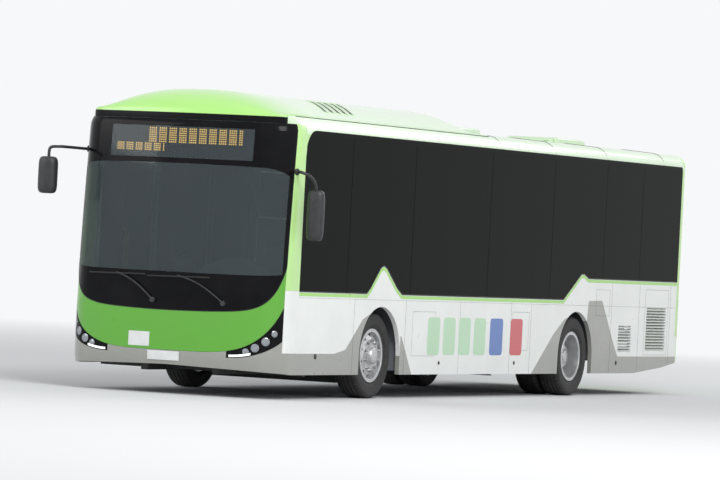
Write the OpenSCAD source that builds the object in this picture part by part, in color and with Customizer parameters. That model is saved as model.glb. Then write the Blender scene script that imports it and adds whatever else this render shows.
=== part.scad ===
// Low-entry airport passenger bus, in millimetres.
// The front faces -Y, the driver sits at +X, and the doorways are in the -X side.
// The ground is z = 0. A station is a distance back from the foremost point of the body.

/* [Body] */
// Length of the body
body_l = 12000; // [11400:50:12600]
// Width of the body
body_w = 2550; // [2450:10:2600]
// Thickness of the side walls and the roof
wall_t = 50; // [40:1:60]
// Height of the lower edge of the skirt
skirt_z = 270; // [240:5:300]
// Height of the belt, where the side glazing starts
belt_z = 1170; // [1100:5:1230]
// Height of the belt behind the rear axle
rear_belt_z = 1435; // [1380:5:1500]
// Height of the top of the side glazing
glazing_top_z = 2850; // [2780:10:2900]
// Radius of the cove between a side and the roof
cove_r = 200; // [160:5:220]
// Rise of the roof from the cove to the middle
roof_crown = 30; // [10:1:50]
// Thickness of the glass
glass_t = 8; // [5:1:12]
// Gap between two panes
pane_gap = 8; // [4:1:14]
// Width of the frame behind the edge of a pane
pane_frame = 50; // [35:1:70]

/* [Front] */
// Radius of the bow of the front in plan
bow_r = 4500; // [3800:50:6000]
// Radius of the front corners in plan
corner_r = 350; // [300:5:400]
// How far the top of the windscreen leans back
rake = 120; // [60:5:160]
// Half girth of the windscreen, from the middle to its side edge
screen_girth = 1340; // [1280:5:1380]
// Height of the lowest point of the windscreen
screen_z = 900; // [860:5:950]
// Height of the top of the windscreen, where the roof fairing starts
screen_top_z = 2950; // [2920:5:2980]
// Rise of the lower edge of the windscreen at its corners
screen_smile = 510; // [400:10:560]
// Height of the lower edge of the front mask
mask_z = 470; // [440:5:500]
// Rise of the lower edge of the mask at its corners
mask_smile = 520; // [420:10:560]
// Thickness of the front panels
mask_t = 30; // [20:1:40]
// Station where the corner pillars end on the sides
pillar_s = 610; // [580:5:660]
// Height of the grey lower band on the corners and sides
band_z = 500; // [470:5:530]

/* [Roof] */
// Height of the fairing over the roof in the middle
fairing_h = 200; // [150:5:240]
// Station of the rear end of the fairing
fairing_s = 5600; // [4800:50:6200]
// Length of the rear slope of the fairing
fairing_slope = 750; // [500:25:1000]
// Length of a roof hatch
hatch_l = 900; // [700:10:1000]
// Width of a roof hatch
hatch_w = 700; // [600:10:800]
// Height of a closed hatch over the roof
hatch_h = 85; // [60:5:110]

/* [Wheels] */
// Radius of a tyre
tyre_r = 478; // [460:1:490]
// Width of a tyre
tyre_w = 275; // [255:1:295]
// Station of the front axle
axle_s = 2760; // [2700:10:2820]
// Distance between the axles
wheelbase = 5730; // [5600:10:5900]
// Distance from the middle to the centre of a front tyre
front_track = 1060; // [1040:5:1075]
// Distance from the middle to the centre of an outer rear tyre
rear_track = 1105; // [1095:5:1115]
// Distance between the centres of twin tyres
twin_gap = 310; // [300:1:320]
// Radius of a wheel arch
arch_r = 545; // [530:5:565]
// Distance from a front tyre's centre in to its kingpin
kingpin_in = 170; // [160:1:185]

/* [Floor and seats] */
// Height of the low floor
floor_z = 340; // [320:5:360]
// Thickness of the floor
floor_t = 30; // [20:1:40]
// Height of the rear floor over the low floor
rear_rise = 510; // [460:10:560]
// How far ahead of the rear axle the rear floor starts
rear_floor_ahead = 990; // [940:10:1100]
// Height of the deck over the engine above the rear floor
bay_rise = 330; // [300:10:380]
// Length of the deck over the engine, as a share of the rear overhang
bay_share = 0.513; // [0.49:0.001:0.53]
// Width of a seat
seat_w = 440; // [420:5:460]
// Height of a seat cushion over its floor
seat_h = 450; // [420:5:480]
// Height of a backrest over its cushion
back_h = 620; // [560:10:680]

/* [Doors] */
// Width of a doorway
door_w = 1300; // [1200:10:1350]
// Height of the top of a doorway
door_top_z = 2500; // [2400:10:2550]
// Station of the front edge of the front doorway
door_1_s = 680; // [675:5:720]
// Station of the front edge of the middle doorway
door_2_s = 4620; // [4500:10:4700]
// Thickness of a door leaf
leaf_t = 40; // [32:1:42]
// Distance in from the outside to the axis of a door post
post_in = 75; // [72:1:80]
// Radius of a door post
post_r = 20; // [16:1:22]

/* [Mirrors] */
// How far the mirrors reach ahead of the body
mirror_ahead = 200; // [150:5:240]
// How far the mirrors reach out from the sides
mirror_out = 285; // [250:5:300]

/* [Engine] */
// Length of the engine
engine_l = 1300; // [1200:10:1350]
// Width of the engine
engine_w = 700; // [600:10:740]
// Height of the engine
engine_h = 760; // [700:10:780]
// Width of the engine lid
lid_w = 1500; // [1300:10:1600]
// Height of the engine lid
lid_h = 800; // [700:10:820]

/* [Hidden] */

fit = 0.3;              // gap between pieces that seat on each other
seam = 0.8;             // gap between the panels of the front
shut = 6;               // gap round a door or a lid
steps = 30;             // columns of the front panels from the middle to the screen's edge

hw = body_w / 2;
front_y = -(body_l + mirror_ahead) / 2 + mirror_ahead;
rear_y = front_y + body_l;
front_axle_y = front_y + axle_s;
rear_axle_y = front_axle_y + wheelbase;
rear_axle_s = axle_s + wheelbase;
rear_over = body_l - rear_axle_s;
rear_floor_s = rear_axle_s - rear_floor_ahead;
bay_s = body_l - bay_share * rear_over;
rear_floor_z = floor_z + rear_rise;
bay_z = rear_floor_z + bay_rise;
cove_z = glazing_top_z + cove_r;
roof_z = cove_z + roof_crown;
ceiling_z = cove_z - wall_t;
rear_corner = 120;      // radius of the rear corners in plan
wall_end_y = rear_y - rear_corner;
pillar_y = front_y + pillar_s;
rear_band_z = 480;      // height of the grey band behind the rear wheels
tail_rise = 130;        // rise of the skirt at the very rear

green = [0.32, 0.66, 0.12];
light_green = [0.74, 0.93, 0.56];
mint = [0.88, 0.97, 0.84];
white = [0.95, 0.96, 0.94];
grey = [0.62, 0.62, 0.59];
black = [0.06, 0.06, 0.07];
glass = [0.1, 0.12, 0.12, 0.8];
steel = [0.45, 0.46, 0.47];
silver = [0.78, 0.79, 0.8];

// The y of a station, and the stations at a share of the wheelbase or of the rear overhang
function st(s) = front_y + s;
function between(q) = axle_s + q * wheelbase;
function behind(q) = rear_axle_s + q * rear_over;

// Points of an arc in a plane
function arc(cx, cy, r, a0, a1, n) =
    [for (i = [0:n]) let (a = a0 + (a1 - a0) * i / n) [cx + r * cos(a), cy + r * sin(a)]];

// The plan of the front: a bow, two corner arcs and the straight sides, by girth g
bow_a = asin((hw - corner_r) / (bow_r - corner_r));
bow_g = bow_r * bow_a * PI / 180;
corner_g = bow_g + corner_r * (90 - bow_a) * PI / 180;
corner_s = bow_r * (1 - cos(bow_a)) + corner_r * cos(bow_a);
pillar_g = corner_g + pillar_s - corner_s;
function turn(g) = g <= bow_g ? g / bow_r * 180 / PI
    : g <= corner_g ? bow_a + (g - bow_g) / corner_r * 180 / PI : 90;
function plan(g) = let (a = turn(g))
    g <= bow_g ? [bow_r * sin(a), bow_r * (1 - cos(a))]
    : [bow_r * sin(bow_a) + corner_r * (sin(a) - sin(bow_a)),
        bow_r * (1 - cos(bow_a)) + corner_r * (cos(bow_a) - cos(a)) + max(0, g - corner_g)];

// How far the front leans back at a height, and how far it curls in to the roof
function lean(z) = rake * pow(max(0, z - screen_z) / (screen_top_z - screen_z), 1.4)
    + 30 * pow(max(0, mask_z - z) / (mask_z - skirt_z), 2);
function fade(g) = g <= screen_girth ? 1 : max(0, (pillar_g - g) / (pillar_g - screen_girth));
function curl(z) = z <= glazing_top_z ? 0
    : cove_r - sqrt(cove_r * cove_r - pow(z - glazing_top_z, 2));
function skin_point(g, z, depth) = let (
    p = plan(abs(g)), a = turn(abs(g)), d = depth + curl(z),
    x = p[0] - d * sin(a), y = front_y + p[1] + lean(z) * fade(abs(g)) + d * cos(a))
    [g < 0 ? -x : x, y, z];

// Triangles round a closed grid of rings, with a cap at each end. A cap whose corners
// don't lie in one plane is split into strips between the first and the last corners.
module loft(rings, split = false) {
    n = len(rings);
    m = len(rings[0]);
    points = [for (r = rings) each r];
    sides = [for (i = [0:n - 2], j = [0:m - 1]) let (k = (j + 1) % m, a = i * m + j, b = i * m + k,
        c = (i + 1) * m + k, d = (i + 1) * m + j)
        each j == m - 1 ? [[a, b, d], [b, c, d]] : [[a, c, d], [a, b, c]]];
    e = (n - 1) * m;
    caps = split
        ? [for (j = [0:m / 2 - 2]) each [[j, m - 1 - j, m - 2 - j, j + 1],
            [e + j, e + j + 1, e + m - 2 - j, e + m - 1 - j]]]
        : [[for (j = [m - 1:-1:0]) j], [for (j = [0:m - 1]) e + j]];
    polyhedron(points, concat(sides, caps), convexity = 8);
}

// A panel of the front between two heights at each girth, as thick as depth
function steep(girths, edge, i) = let (j = max(i - 1, 0), k = min(i + 1, len(girths) - 1),
    slope = (edge[k] - edge[j]) / (girths[k] - girths[j])) min(3.5, sqrt(1 + slope * slope));
module front_panel(girths, low, high, depth, rows) {
    rings = [for (i = [0:len(girths) - 1]) let (g = girths[i],
        a = low[i] + seam / 2 * steep(girths, low, i), b = high[i] - seam / 2 * steep(girths, high, i))
        concat([for (j = [0:rows]) skin_point(g, a + (b - a) * j / rows, 0)],
            [for (j = [rows:-1:0]) skin_point(g, a + (b - a) * j / rows, depth)])];
    loft(rings, split = true);
}
function girths(k0, k1) = [for (k = [k0:k1]) k * screen_girth / steps];
function mirrored(list) = [for (i = [len(list) - 1:-1:0]) -list[i]];
function side_girths(from) = concat([from],
    [for (k = [steps + 1:steps + 5]) let (g = k * screen_girth / steps) if (g < corner_g - 10) g],
    [corner_g, pillar_g - seam / 2]);
function on_side(list, sign) = sign > 0 ? list : mirrored(list);

// Edges of the front panels by girth
lamp_k = 16;            // column where the headlamps start
lamp_g = lamp_k * screen_girth / steps;
jog = 1;                // width of the steps in the bumper's upper edge
function screen_low(g) = let (q = abs(g) / screen_girth)
    screen_z + 0.12 * screen_smile * q * q + 0.88 * screen_smile * pow(q, 9);
function mask_low(g) = mask_z + mask_smile * pow(abs(g) / screen_girth, 4.8);
function lamp_low(g) = mask_z - 45 + 200 * pow(max(0, abs(g) - lamp_g) / (screen_girth - lamp_g), 2.2);
function bumper_top(g) = abs(g) < lamp_g + jog ? mask_low(g)
    : abs(g) < screen_girth + jog ? lamp_low(g) : band_z;
function bumper_low(g) = skirt_z + 50 * pow(max(0, 1 - abs(g) / corner_g), 0.7);

// A rod of length l along X, from the given point
module rod(p, l, r) {
    translate(p) rotate([0, 90, 0]) cylinder(h = l, r = r, $fn = 32);
}

module both_sides() {
    children();
    mirror([1, 0, 0]) children();
}

// A plate along X whose outline is drawn in Y and Z
module side_plate(x0, t, outline) {
    translate([x0, 0, 0]) rotate([90, 0, 90]) linear_extrude(t) polygon(outline);
}

// The glazing of a side, with the peaks over the wheels and a round front corner
peak_h = 315;           // height of a peak over the belt
glass_corner = 230;     // radius of the front upper corner of the glazing
glazing_end_y = wall_end_y - 60;
glazing = concat(
    [[pillar_y, belt_z], [front_axle_y - 420, belt_z], [front_axle_y - 330, belt_z + 60],
    [front_axle_y - 80, belt_z + peak_h - 30], [front_axle_y, belt_z + peak_h],
    [front_axle_y + 90, belt_z + peak_h - 30], [front_axle_y + 390, belt_z + 70],
    [front_axle_y + 530, belt_z], [rear_axle_y - 450, belt_z], [rear_axle_y - 350, belt_z + 60],
    [rear_axle_y + 90, belt_z + peak_h], [rear_axle_y + 190, belt_z + peak_h],
    [rear_axle_y + 330, rear_belt_z], [glazing_end_y, rear_belt_z], [glazing_end_y, glazing_top_z]],
    arc(pillar_y + glass_corner, glazing_top_z - glass_corner, glass_corner, 90, 180, 6));

// Edges of the panes, by station from the front
middle_edges = [between(0.843), behind(0.222), behind(0.57), glazing_end_y - front_y];
left_edges = concat([pillar_s, axle_s - 950, between(0.129), between(0.51)], middle_edges);
// The panes of the right side: front edge and rear edge
right_panes = concat([[door_1_s + door_w + 60, between(0.119)], [between(0.119), door_2_s - 60],
    [door_2_s + door_w + 60, middle_edges[0]]], [for (i = [0:2]) [middle_edges[i], middle_edges[i + 1]]]);
left_panes = [for (i = [0:len(left_edges) - 2]) [left_edges[i], left_edges[i + 1]]];

module pane(edges, depth) {
    intersection() {
        side_plate(hw - depth, depth, glazing);
        translate([hw - depth - 1, st(edges[0]) + pane_gap / 2, belt_z - 10])
            cube([depth + 2, edges[1] - edges[0] - pane_gap, glazing_top_z - belt_z + 20]);
    }
}

module window_hole(edges) {
    intersection() {
        translate([0, 0, pane_frame]) side_plate(hw - wall_t - 1, wall_t + 2, glazing);
        translate([0, 0, -pane_frame]) side_plate(hw - wall_t - 1, wall_t + 2, glazing);
        translate([hw - wall_t - 1, st(edges[0]) + pane_frame, belt_z])
            cube([wall_t + 2, edges[1] - edges[0] - 2 * pane_frame, glazing_top_z - belt_z]);
    }
}

// An arch over an axle, from its lower front corner round to its lower rear corner
function arch_outline(y, r, low) = concat([[y + r, low], [y + r, tyre_r]],
    [for (p = arc(y, tyre_r, r, 7.5, 172.5, 22)) p], [[y - r, tyre_r], [y - r, low]]);

// Grey panels round the wheels: each outline in Y and Z
tail_z = skirt_z + tail_rise;
flare_fore = concat([[pillar_y, skirt_z], [front_axle_y - arch_r, skirt_z]],
    arc(front_axle_y, tyre_r, arch_r, 180, 120, 8),
    [[front_axle_y - 490, 880], [front_axle_y - 750, 670], [front_axle_y - 905, 545],
    [front_axle_y - 1190, band_z], [pillar_y, band_z]]);
flare_wedge = [[front_axle_y + arch_r, skirt_z], [front_axle_y + arch_r + 350, skirt_z],
    [front_axle_y + arch_r + 25, 700], [front_axle_y + arch_r, 700]];
flare_mid = concat([[rear_axle_y - arch_r, skirt_z]],
    arc(rear_axle_y, tyre_r, arch_r, 180, 120, 8),
    [[rear_axle_y - 380, 930], [rear_axle_y - 700, 754], [rear_axle_y - 1350, skirt_z]]);
flare_aft = concat(arc(rear_axle_y, tyre_r, arch_r, 52.5, 0, 7),
    [[rear_axle_y + arch_r, skirt_z], [wall_end_y - 1440, skirt_z], [wall_end_y - 480, skirt_z + 70],
    [wall_end_y, tail_z], [wall_end_y, rear_band_z], [rear_axle_y + 1400, rear_band_z],
    [rear_axle_y + 1210, 680], [rear_axle_y + 1030, 900], [rear_axle_y + 810, belt_z - 4],
    [rear_axle_y + 370, belt_z - 12]]);
flares = [flare_fore, flare_wedge, flare_mid, flare_aft];

module flare_solids() {
    for (f = flares) side_plate(hw - wall_t, wall_t, f);
}

// Grilles in the sides: station, width, height of the lower edge and number of slats
grilles = [[behind(0.393), 0.131 * rear_over, 525, 9], [behind(0.658), 0.2 * rear_over, 540, 15]];
slat_pitch = 36;
grille_rim = 12;

module grille_hole(g) {
    translate([hw - wall_t - 1, st(g[0]), g[2]])
        cube([wall_t + 2, g[1], g[3] * slat_pitch + 2 * grille_rim]);
}

module grille(g) {
    h = g[3] * slat_pitch + 2 * grille_rim;
    difference() {
        translate([hw - wall_t, st(g[0]), g[2]]) cube([wall_t, g[1], h]);
        translate([hw - wall_t - 1, st(g[0]) + grille_rim, g[2] + grille_rim])
            cube([wall_t + 2, g[1] - 2 * grille_rim, h - 2 * grille_rim]);
    }
    for (i = [0:g[3] - 1]) {
        z = g[2] + grille_rim + (i + 0.5) * slat_pitch;
        side_plate_across(st(g[0]) + grille_rim / 2, g[1] - grille_rim,
            [[hw - 4, z - 14], [hw - 4, z - 8], [hw - 36, z + 14], [hw - 36, z + 8]]);
    }
}

// A prism along Y whose outline is drawn in X and Z
module side_plate_across(y0, l, outline) {
    translate([0, y0 + l, 0]) rotate([90, 0, 0]) linear_extrude(l) polygon(outline);
}

// The side wall at +X, before the doorways are cut
module wall_blank(panes, glazed_from) {
    difference() {
        side_plate(hw - wall_t, wall_t, [[pillar_y, skirt_z], [wall_end_y - 1440, skirt_z],
            [wall_end_y - 480, skirt_z + 70], [wall_end_y, tail_z], [wall_end_y, glazing_top_z],
            [pillar_y, glazing_top_z]]);
        intersection() {
            side_plate(hw - glass_t - fit, wall_t, glazing);
            translate([0, glazed_from, 0]) cube([body_w, body_l, glazing_top_z + 1]);
        }
        for (p = panes) window_hole(p);
        for (y = [front_axle_y, rear_axle_y])
            side_plate(hw - wall_t - 1, wall_t + 2, arch_outline(y, arch_r, skirt_z - 1));
        flare_solids();
        for (g = grilles) grille_hole(g);
    }
}

module side_wall_left() {
    color(white) wall_blank(left_panes, pillar_y - 1);
}

header_z = door_top_z + 20;     // lower face of the drive housing over a doorway
header_d = 110;                 // depth of that housing
header_end = 60;                // how far it reaches past the doorway
module doorway(s) {
    translate([-hw - 1, st(s), floor_z + 2]) cube([wall_t + 2, door_w, door_top_z - floor_z - 2]);
}

module side_wall_right() {
    color(white) difference() {
        mirror([1, 0, 0]) wall_blank(right_panes, st(right_panes[0][0]));
        doorway(door_1_s);
        doorway(door_2_s);
    }
    color(white) for (s = [door_1_s, door_2_s])
        translate([-hw + wall_t, st(s) - header_end, header_z])
            cube([header_d, door_w + 2 * header_end, glazing_top_z - header_z]);
}

module arch_flares() {
    color(grey) {
        flare_solids();
        difference() {
            mirror([1, 0, 0]) flare_solids();
            doorway(door_1_s);
        }
    }
}

module side_glass() {
    color(glass) {
        for (p = left_panes) pane(p, glass_t);
        mirror([1, 0, 0]) for (p = right_panes) pane(p, glass_t);
    }
}

module side_grilles() {
    color(silver) both_sides() for (g = grilles) grille(g);
}

// The upper outline of the roof from x = 0 outward
cove_n = 8;
cove_x = hw - cove_r;
flat_hw = 0.65 * cove_x;    // half width of the flat top
function roof_line(x) = x <= flat_hw ? roof_z
    : x <= cove_x ? roof_z - roof_crown * (x - flat_hw) / (cove_x - flat_hw)
    : glazing_top_z + sqrt(max(0, cove_r * cove_r - pow(x - cove_x, 2)));
cove_points = [for (i = [0:cove_n]) let (a = 90 * i / cove_n)
    [cove_x + cove_r * sin(a), glazing_top_z + cove_r * cos(a)]];
half_roof = concat([[flat_hw, roof_z]], cove_points);
roof_outline = concat([for (i = [len(half_roof) - 1:-1:0]) [-half_roof[i][0], half_roof[i][1]]], half_roof);

// Where the roof starts at each x: a lip's thickness behind the top of the windscreen
lip_t = 30;
function girth_at(x) = x <= bow_r * sin(bow_a) ? bow_r * asin(x / bow_r) * PI / 180
    : bow_g + corner_r * (asin(min(1, (x - bow_r * sin(bow_a)) / corner_r + sin(bow_a))) - bow_a)
        * PI / 180;
function nose_y(x) = let (g = girth_at(x))
    front_y + plan(g)[1] + lean(screen_top_z) * fade(g) + curl(screen_top_z);
fairing_columns = concat([for (q = [0, 0.25, 0.5, 0.75]) q * flat_hw],
    [for (i = [0:3]) flat_hw + i * (cove_x - flat_hw) / 4], [for (i = [0:2]) cove_points[i][0]]);
trim_columns = concat(fairing_columns, [for (i = [3:cove_n]) cove_points[i][0]]);

module roof_prism(outline, y0, y1) {
    side_plate_across(y0, y1 - y0, outline);
}

module roof() {
    inner_x = hw - wall_t;
    inner = [[-inner_x, glazing_top_z - 1], [-inner_x, glazing_top_z + 60], [-cove_x + 20, ceiling_z],
        [cove_x - 20, ceiling_z], [inner_x, glazing_top_z + 60], [inner_x, glazing_top_z - 1]];
    n = len(trim_columns);
    edge = concat([for (i = [n - 1:-1:0]) [-trim_columns[i], nose_y(trim_columns[i]) + lip_t]],
        [for (i = [1:n - 1]) [trim_columns[i], nose_y(trim_columns[i]) + lip_t]]);
    ahead = [[hw + 1, edge[len(edge) - 1][1]], [hw + 1, front_y - 1], [-hw - 1, front_y - 1],
        [-hw - 1, edge[0][1]]];
    color(mint) difference() {
        union() {
            roof_prism(roof_outline, front_y, rear_y);
            for (s = hatch_stations) {
                translate([-hatch_w / 2, st(s), roof_z - 1]) cube([hatch_w, hatch_l, curb_h + 1]);
                hatch_knuckles(s);
            }
        }
        translate([0, 0, glazing_top_z - 1]) linear_extrude(cove_r * 2) difference() {
            translate([-hw - 1, wall_end_y]) square([body_w + 2, rear_corner + 1]);
            polygon(rear_in);
        }
        roof_prism(inner, front_y - 1, rear_y + 1);
        translate([0, 0, glazing_top_z - 1]) linear_extrude(cove_r * 2) polygon(concat(edge, ahead));
        translate([-hw - 1, front_y - 1, glazing_top_z - 1])
            cube([body_w + 2, pillar_s + 1, screen_top_z - glazing_top_z + 1]);
        for (s = hatch_stations)
            translate([-hatch_w / 2 + 60, st(s) + 60, ceiling_z - 1])
                cube([hatch_w - 120, hatch_l - 120, roof_z - ceiling_z + curb_h + 2]);
    }
}

// The fairing: one closed outline in Y and Z at each column across the roof
fair_edge = 25;         // height of the fairing's side edge over the roof
nose_l = 520;           // length of the rounded nose
nose_n = 8;
slope_n = 8;
fair_hw = cove_points[2][0];
function fair_top(x) = let (e = roof_line(fair_hw) + fair_edge)
    e + (roof_z + fairing_h - e) * (1 - pow(x / fair_hw, 2.4));
function fair_ring(x) = let (
    ax = abs(x), y0 = nose_y(ax), low = screen_top_z + seam / 2, top = fair_top(ax), base = roof_line(ax),
    y1 = st(fairing_s), yt = y1 - fairing_slope)
    [for (p = concat(
        [for (i = [0:nose_n]) let (a = 90 * i / nose_n)
            [y0 + nose_l * (1 - cos(a)), low + 12 + (top - low - 12) * sin(a)]],
        [for (i = [0:slope_n]) let (q = i / slope_n)
            [yt + fairing_slope * q, base + 6 + (top - base - 6) * (0.5 + 0.5 * cos(180 * q))]],
        [[y1, base], [y0 + lip_t, base], [y0 + lip_t, low], [y0, low]])) [x, p[0], p[1]]];

module roof_fairing() {
    n = len(fairing_columns);
    xs = concat([for (i = [n - 1:-1:1]) -fairing_columns[i]], fairing_columns);
    color(mint) difference() {
        loft([for (x = xs) fair_ring(x)]);
        for (i = [0:4])
            both_sides() translate([fair_hw - 160, st(1700) + i * 260, roof_z - 10]) rotate([35, 0, 0])
                cube([300, 90, 40]);
    }
}

hatch_stations = [between(0.653), behind(0.387)];
curb_h = 35;            // height of the curb that a hatch rests on
hatch_hinges = [-0.28 * hatch_w, 0.28 * hatch_w];
hatch_pin = 18;         // distance from a hatch's front edge to its hinge's axis
hatch_pin_z = roof_z + curb_h + 14;

module hatch(s) {
    y = st(s);
    z = roof_z + curb_h + fit;
    h = hatch_h - curb_h;
    color(mint) difference() {
        loft([for (q = [[0, 0], [0, h - 20], [40, h]])
            [for (p = [[-1, 1], [1, 1], [1, 0], [-1, 0]])
                [p[0] * (hatch_w / 2 - q[0]), y + q[0] + p[1] * (hatch_l - 2 * q[0]), z + q[1]]]]);
        translate([-hatch_w / 2 + 60, y + 60, z - 1]) cube([hatch_w - 120, hatch_l - 120, 13]);
    }
    color(mint) for (x = hatch_hinges) difference() {
        union() {
            rod([x - knuckle_l / 2, y - hatch_pin, hatch_pin_z], knuckle_l, hinge_r);
            translate([x - knuckle_l / 2, y - hatch_pin, hatch_pin_z - 8])
                cube([knuckle_l, hatch_pin + 5, 16]);
        }
        rod([x - knuckle_l, y - hatch_pin, hatch_pin_z], 2 * knuckle_l, pin_r + fit);
    }
}

// The roof's half of a hatch's hinge: two knuckles on feet and the pin
module hatch_knuckles(s) {
    for (x = hatch_hinges) {
        for (d = [-1, 1]) translate([x + d * (knuckle_l + 2) - knuckle_l / 2, st(s) - hatch_pin, 0]) {
            rod([0, 0, hatch_pin_z], knuckle_l, hinge_r);
            translate([0, -hinge_r + 2, roof_z - 1])
                cube([knuckle_l, 2 * hinge_r - 4, hatch_pin_z - roof_z]);
        }
        rod([x - knuckle_l, st(s) - hatch_pin, hatch_pin_z], 2 * knuckle_l, pin_r);
    }
}

module hatch_front() {
    hatch(hatch_stations[0]);
}

module hatch_rear() {
    hatch(hatch_stations[1]);
}

// The rear wall wraps round both rear corners
rear_out = concat([[-hw, wall_end_y]],
    arc(-hw + rear_corner, rear_y - rear_corner, rear_corner, 180, 90, 8),
    arc(hw - rear_corner, rear_y - rear_corner, rear_corner, 90, 0, 8));
rear_in = concat(arc(hw - rear_corner, rear_y - rear_corner, rear_corner - wall_t, 0, 90, 8),
    arc(-hw + rear_corner, rear_y - rear_corner, rear_corner - wall_t, 90, 180, 8));
lid_z = 440;            // height of the lower edge of the engine lid
lid_t = 30;
rear_win_w = 1900;
rear_win_z = 1750;
rear_win_h = 850;
hinge_r = 12;
pin_r = 6;
knuckle_l = 60;
hinge_z = lid_z + lid_h;
lid_y = rear_y - hinge_r;

module rear_wall() {
    color(light_green) difference() {
        intersection() {
            translate([0, 0, tail_z]) linear_extrude(roof_z - tail_z) polygon(concat(rear_out, rear_in));
            roof_prism(concat(roof_outline, [[hw, tail_z - 1], [-hw, tail_z - 1]]),
                wall_end_y - 1, rear_y + 1);
        }
        translate([-rear_win_w / 2 + 50, rear_y - wall_t - 1, rear_win_z + 50])
            cube([rear_win_w - 100, wall_t + 2, rear_win_h - 100]);
        translate([-rear_win_w / 2 - shut / 2, rear_y - glass_t - fit, rear_win_z - shut / 2])
            cube([rear_win_w + shut, glass_t + 1, rear_win_h + shut]);
        translate([-lid_w / 2 - shut, rear_y - wall_t - 1, lid_z - shut])
            cube([lid_w + 2 * shut, wall_t + 2, lid_h + shut + hinge_r + 3]);
        for (x = [-1, 1]) translate([x * (hw - 100) - 70, rear_y - 20, 700]) cube([140, 30, 520]);
    }
    for (x = [-500, 500]) hinge_half(x);
}

module hinge_half(x) {
    color(light_green) {
        for (d = [-1, 1]) translate([x + d * (knuckle_l + 2) - knuckle_l / 2, 0, 0]) {
            rod([0, lid_y, hinge_z], knuckle_l, hinge_r);
            translate([0, lid_y - hinge_r, hinge_z]) cube([knuckle_l, 2 * hinge_r - 4, 2 * hinge_r + shut]);
        }
        rod([x - knuckle_l, lid_y, hinge_z], 2 * knuckle_l, pin_r);
    }
}

module rear_window() {
    color(glass) translate([-rear_win_w / 2, rear_y - glass_t, rear_win_z])
        cube([rear_win_w, glass_t, rear_win_h]);
}

module engine_lid() {
    color(light_green) {
        difference() {
            translate([-lid_w / 2, rear_y - hinge_r - lid_t + 8, lid_z])
                cube([lid_w, lid_t, lid_h - hinge_r - 3]);
            for (i = [0:9]) translate([-lid_w / 2 + 150, rear_y - 100, lid_z + 120 + i * 45])
                cube([lid_w - 300, 150, 18]);
        }
        for (x = [-500, 500]) difference() {
            union() {
                rod([x - knuckle_l / 2, lid_y, hinge_z], knuckle_l, hinge_r);
                translate([x - knuckle_l / 2, lid_y - hinge_r, hinge_z - hinge_r - 20])
                    cube([knuckle_l, 2 * hinge_r - 4, hinge_r + 20]);
            }
            rod([x - knuckle_l, lid_y, hinge_z], 2 * knuckle_l, pin_r + fit);
        }
    }
}

engine_y = rear_y - wall_t - 60 - engine_l;
// The engine lies along Y: sump, block, head, two rocker covers, gearbox, pulleys and manifold
module engine() {
    z = bay_z - floor_t - 20 - engine_h;
    w = engine_w;
    block_l = engine_l - 420;
    crank_z = z + 0.38 * engine_h;
    color(steel) translate([0, engine_y, 0]) {
        translate([-w / 2 + 110, 360, z]) cube([w - 220, block_l - 60, 0.24 * engine_h + 1]);
        translate([-w / 2, 330, z + 0.24 * engine_h]) cube([w, block_l, 0.44 * engine_h + 1]);
        translate([-w / 2 + 90, 340, z + 0.68 * engine_h])
            cube([w - 180, block_l - 20, 0.18 * engine_h + 1]);
        for (k = [0:5]) translate([-w / 2 + 150, 360 + k * (block_l - 60) / 6, z + 0.86 * engine_h])
            cube([w - 300, (block_l - 60) / 6 - 20, 0.14 * engine_h]);
        translate([0, 331, crank_z]) rotate([90, 0, 0]) cylinder(h = 90, r = 0.33 * engine_h, $fn = 48);
        translate([0, 242, crank_z]) rotate([90, 0, 0]) cylinder(h = 242, r1 = 0.27 * engine_h,
            r2 = 0.2 * engine_h, $fn = 48);
        translate([0, 329 + block_l + 60, crank_z]) rotate([90, 0, 0]) cylinder(h = 60, r = 110, $fn = 48);
        translate([0, 329 + block_l + 60, crank_z + 230]) rotate([90, 0, 0])
            cylinder(h = 60, r = 70, $fn = 32);
        translate([-w / 2 + 60, 420, z + 0.75 * engine_h]) rotate([-90, 0, 0])
            cylinder(h = block_l - 200, r = 42, $fn = 24);
        for (x = [-1, 1], y = [360, engine_l - 250])
            translate([x > 0 ? w / 2 - 1 : -rail_x + rail_w / 2, y, rear_floor_z - floor_t - 90])
                cube([rail_x - rail_w / 2 - w / 2 + 1, 100, 60]);
    }
}

module tail_lamps() {
    color([0.7, 0.05, 0.05]) both_sides() for (i = [0:2])
        translate([hw - 100 - 65, rear_y - 20 + fit, 710 + i * 170]) cube([130, 19, 150]);
}

module front_mask() {
    g = girths(-steps, steps);
    color(green) front_panel(g, [for (v = g) mask_low(v)], [for (v = g) screen_low(v)], mask_t, 4);
}

module windscreen() {
    g = girths(-steps, steps);
    color(glass) front_panel(g, [for (v = g) screen_low(v)], [for (v = g) screen_top_z], glass_t, 10);
}

module corner_pillars() {
    color(light_green) for (sign = [-1, 1]) {
        g = on_side(side_girths(screen_girth + seam / 2), sign);
        front_panel(g, [for (v = g) belt_z], [for (v = g) screen_top_z], wall_t, 10);
    }
}

module corner_panels() {
    color(white) for (sign = [-1, 1]) {
        g = on_side(side_girths(screen_girth + jog + seam / 2), sign);
        front_panel(g, [for (v = g) band_z], [for (v = g) belt_z], wall_t, 3);
    }
}

module front_bumper() {
    half = concat(girths(0, lamp_k), [lamp_g + jog], girths(lamp_k + 1, steps),
        side_girths(screen_girth + jog));
    g = concat([for (i = [len(half) - 1:-1:1]) -half[i]], half);
    color(grey) front_panel(g, [for (v = g) bumper_low(v)], [for (v = g) bumper_top(v)], mask_t, 3);
}

module headlamps() {
    half = concat([lamp_g + jog + seam / 2], girths(lamp_k + 1, steps));
    color(black) for (sign = [-1, 1]) {
        g = on_side(half, sign);
        front_panel(g, [for (v = g) lamp_low(v)], [for (v = g) mask_low(v)], mask_t, 3);
    }
}

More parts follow.
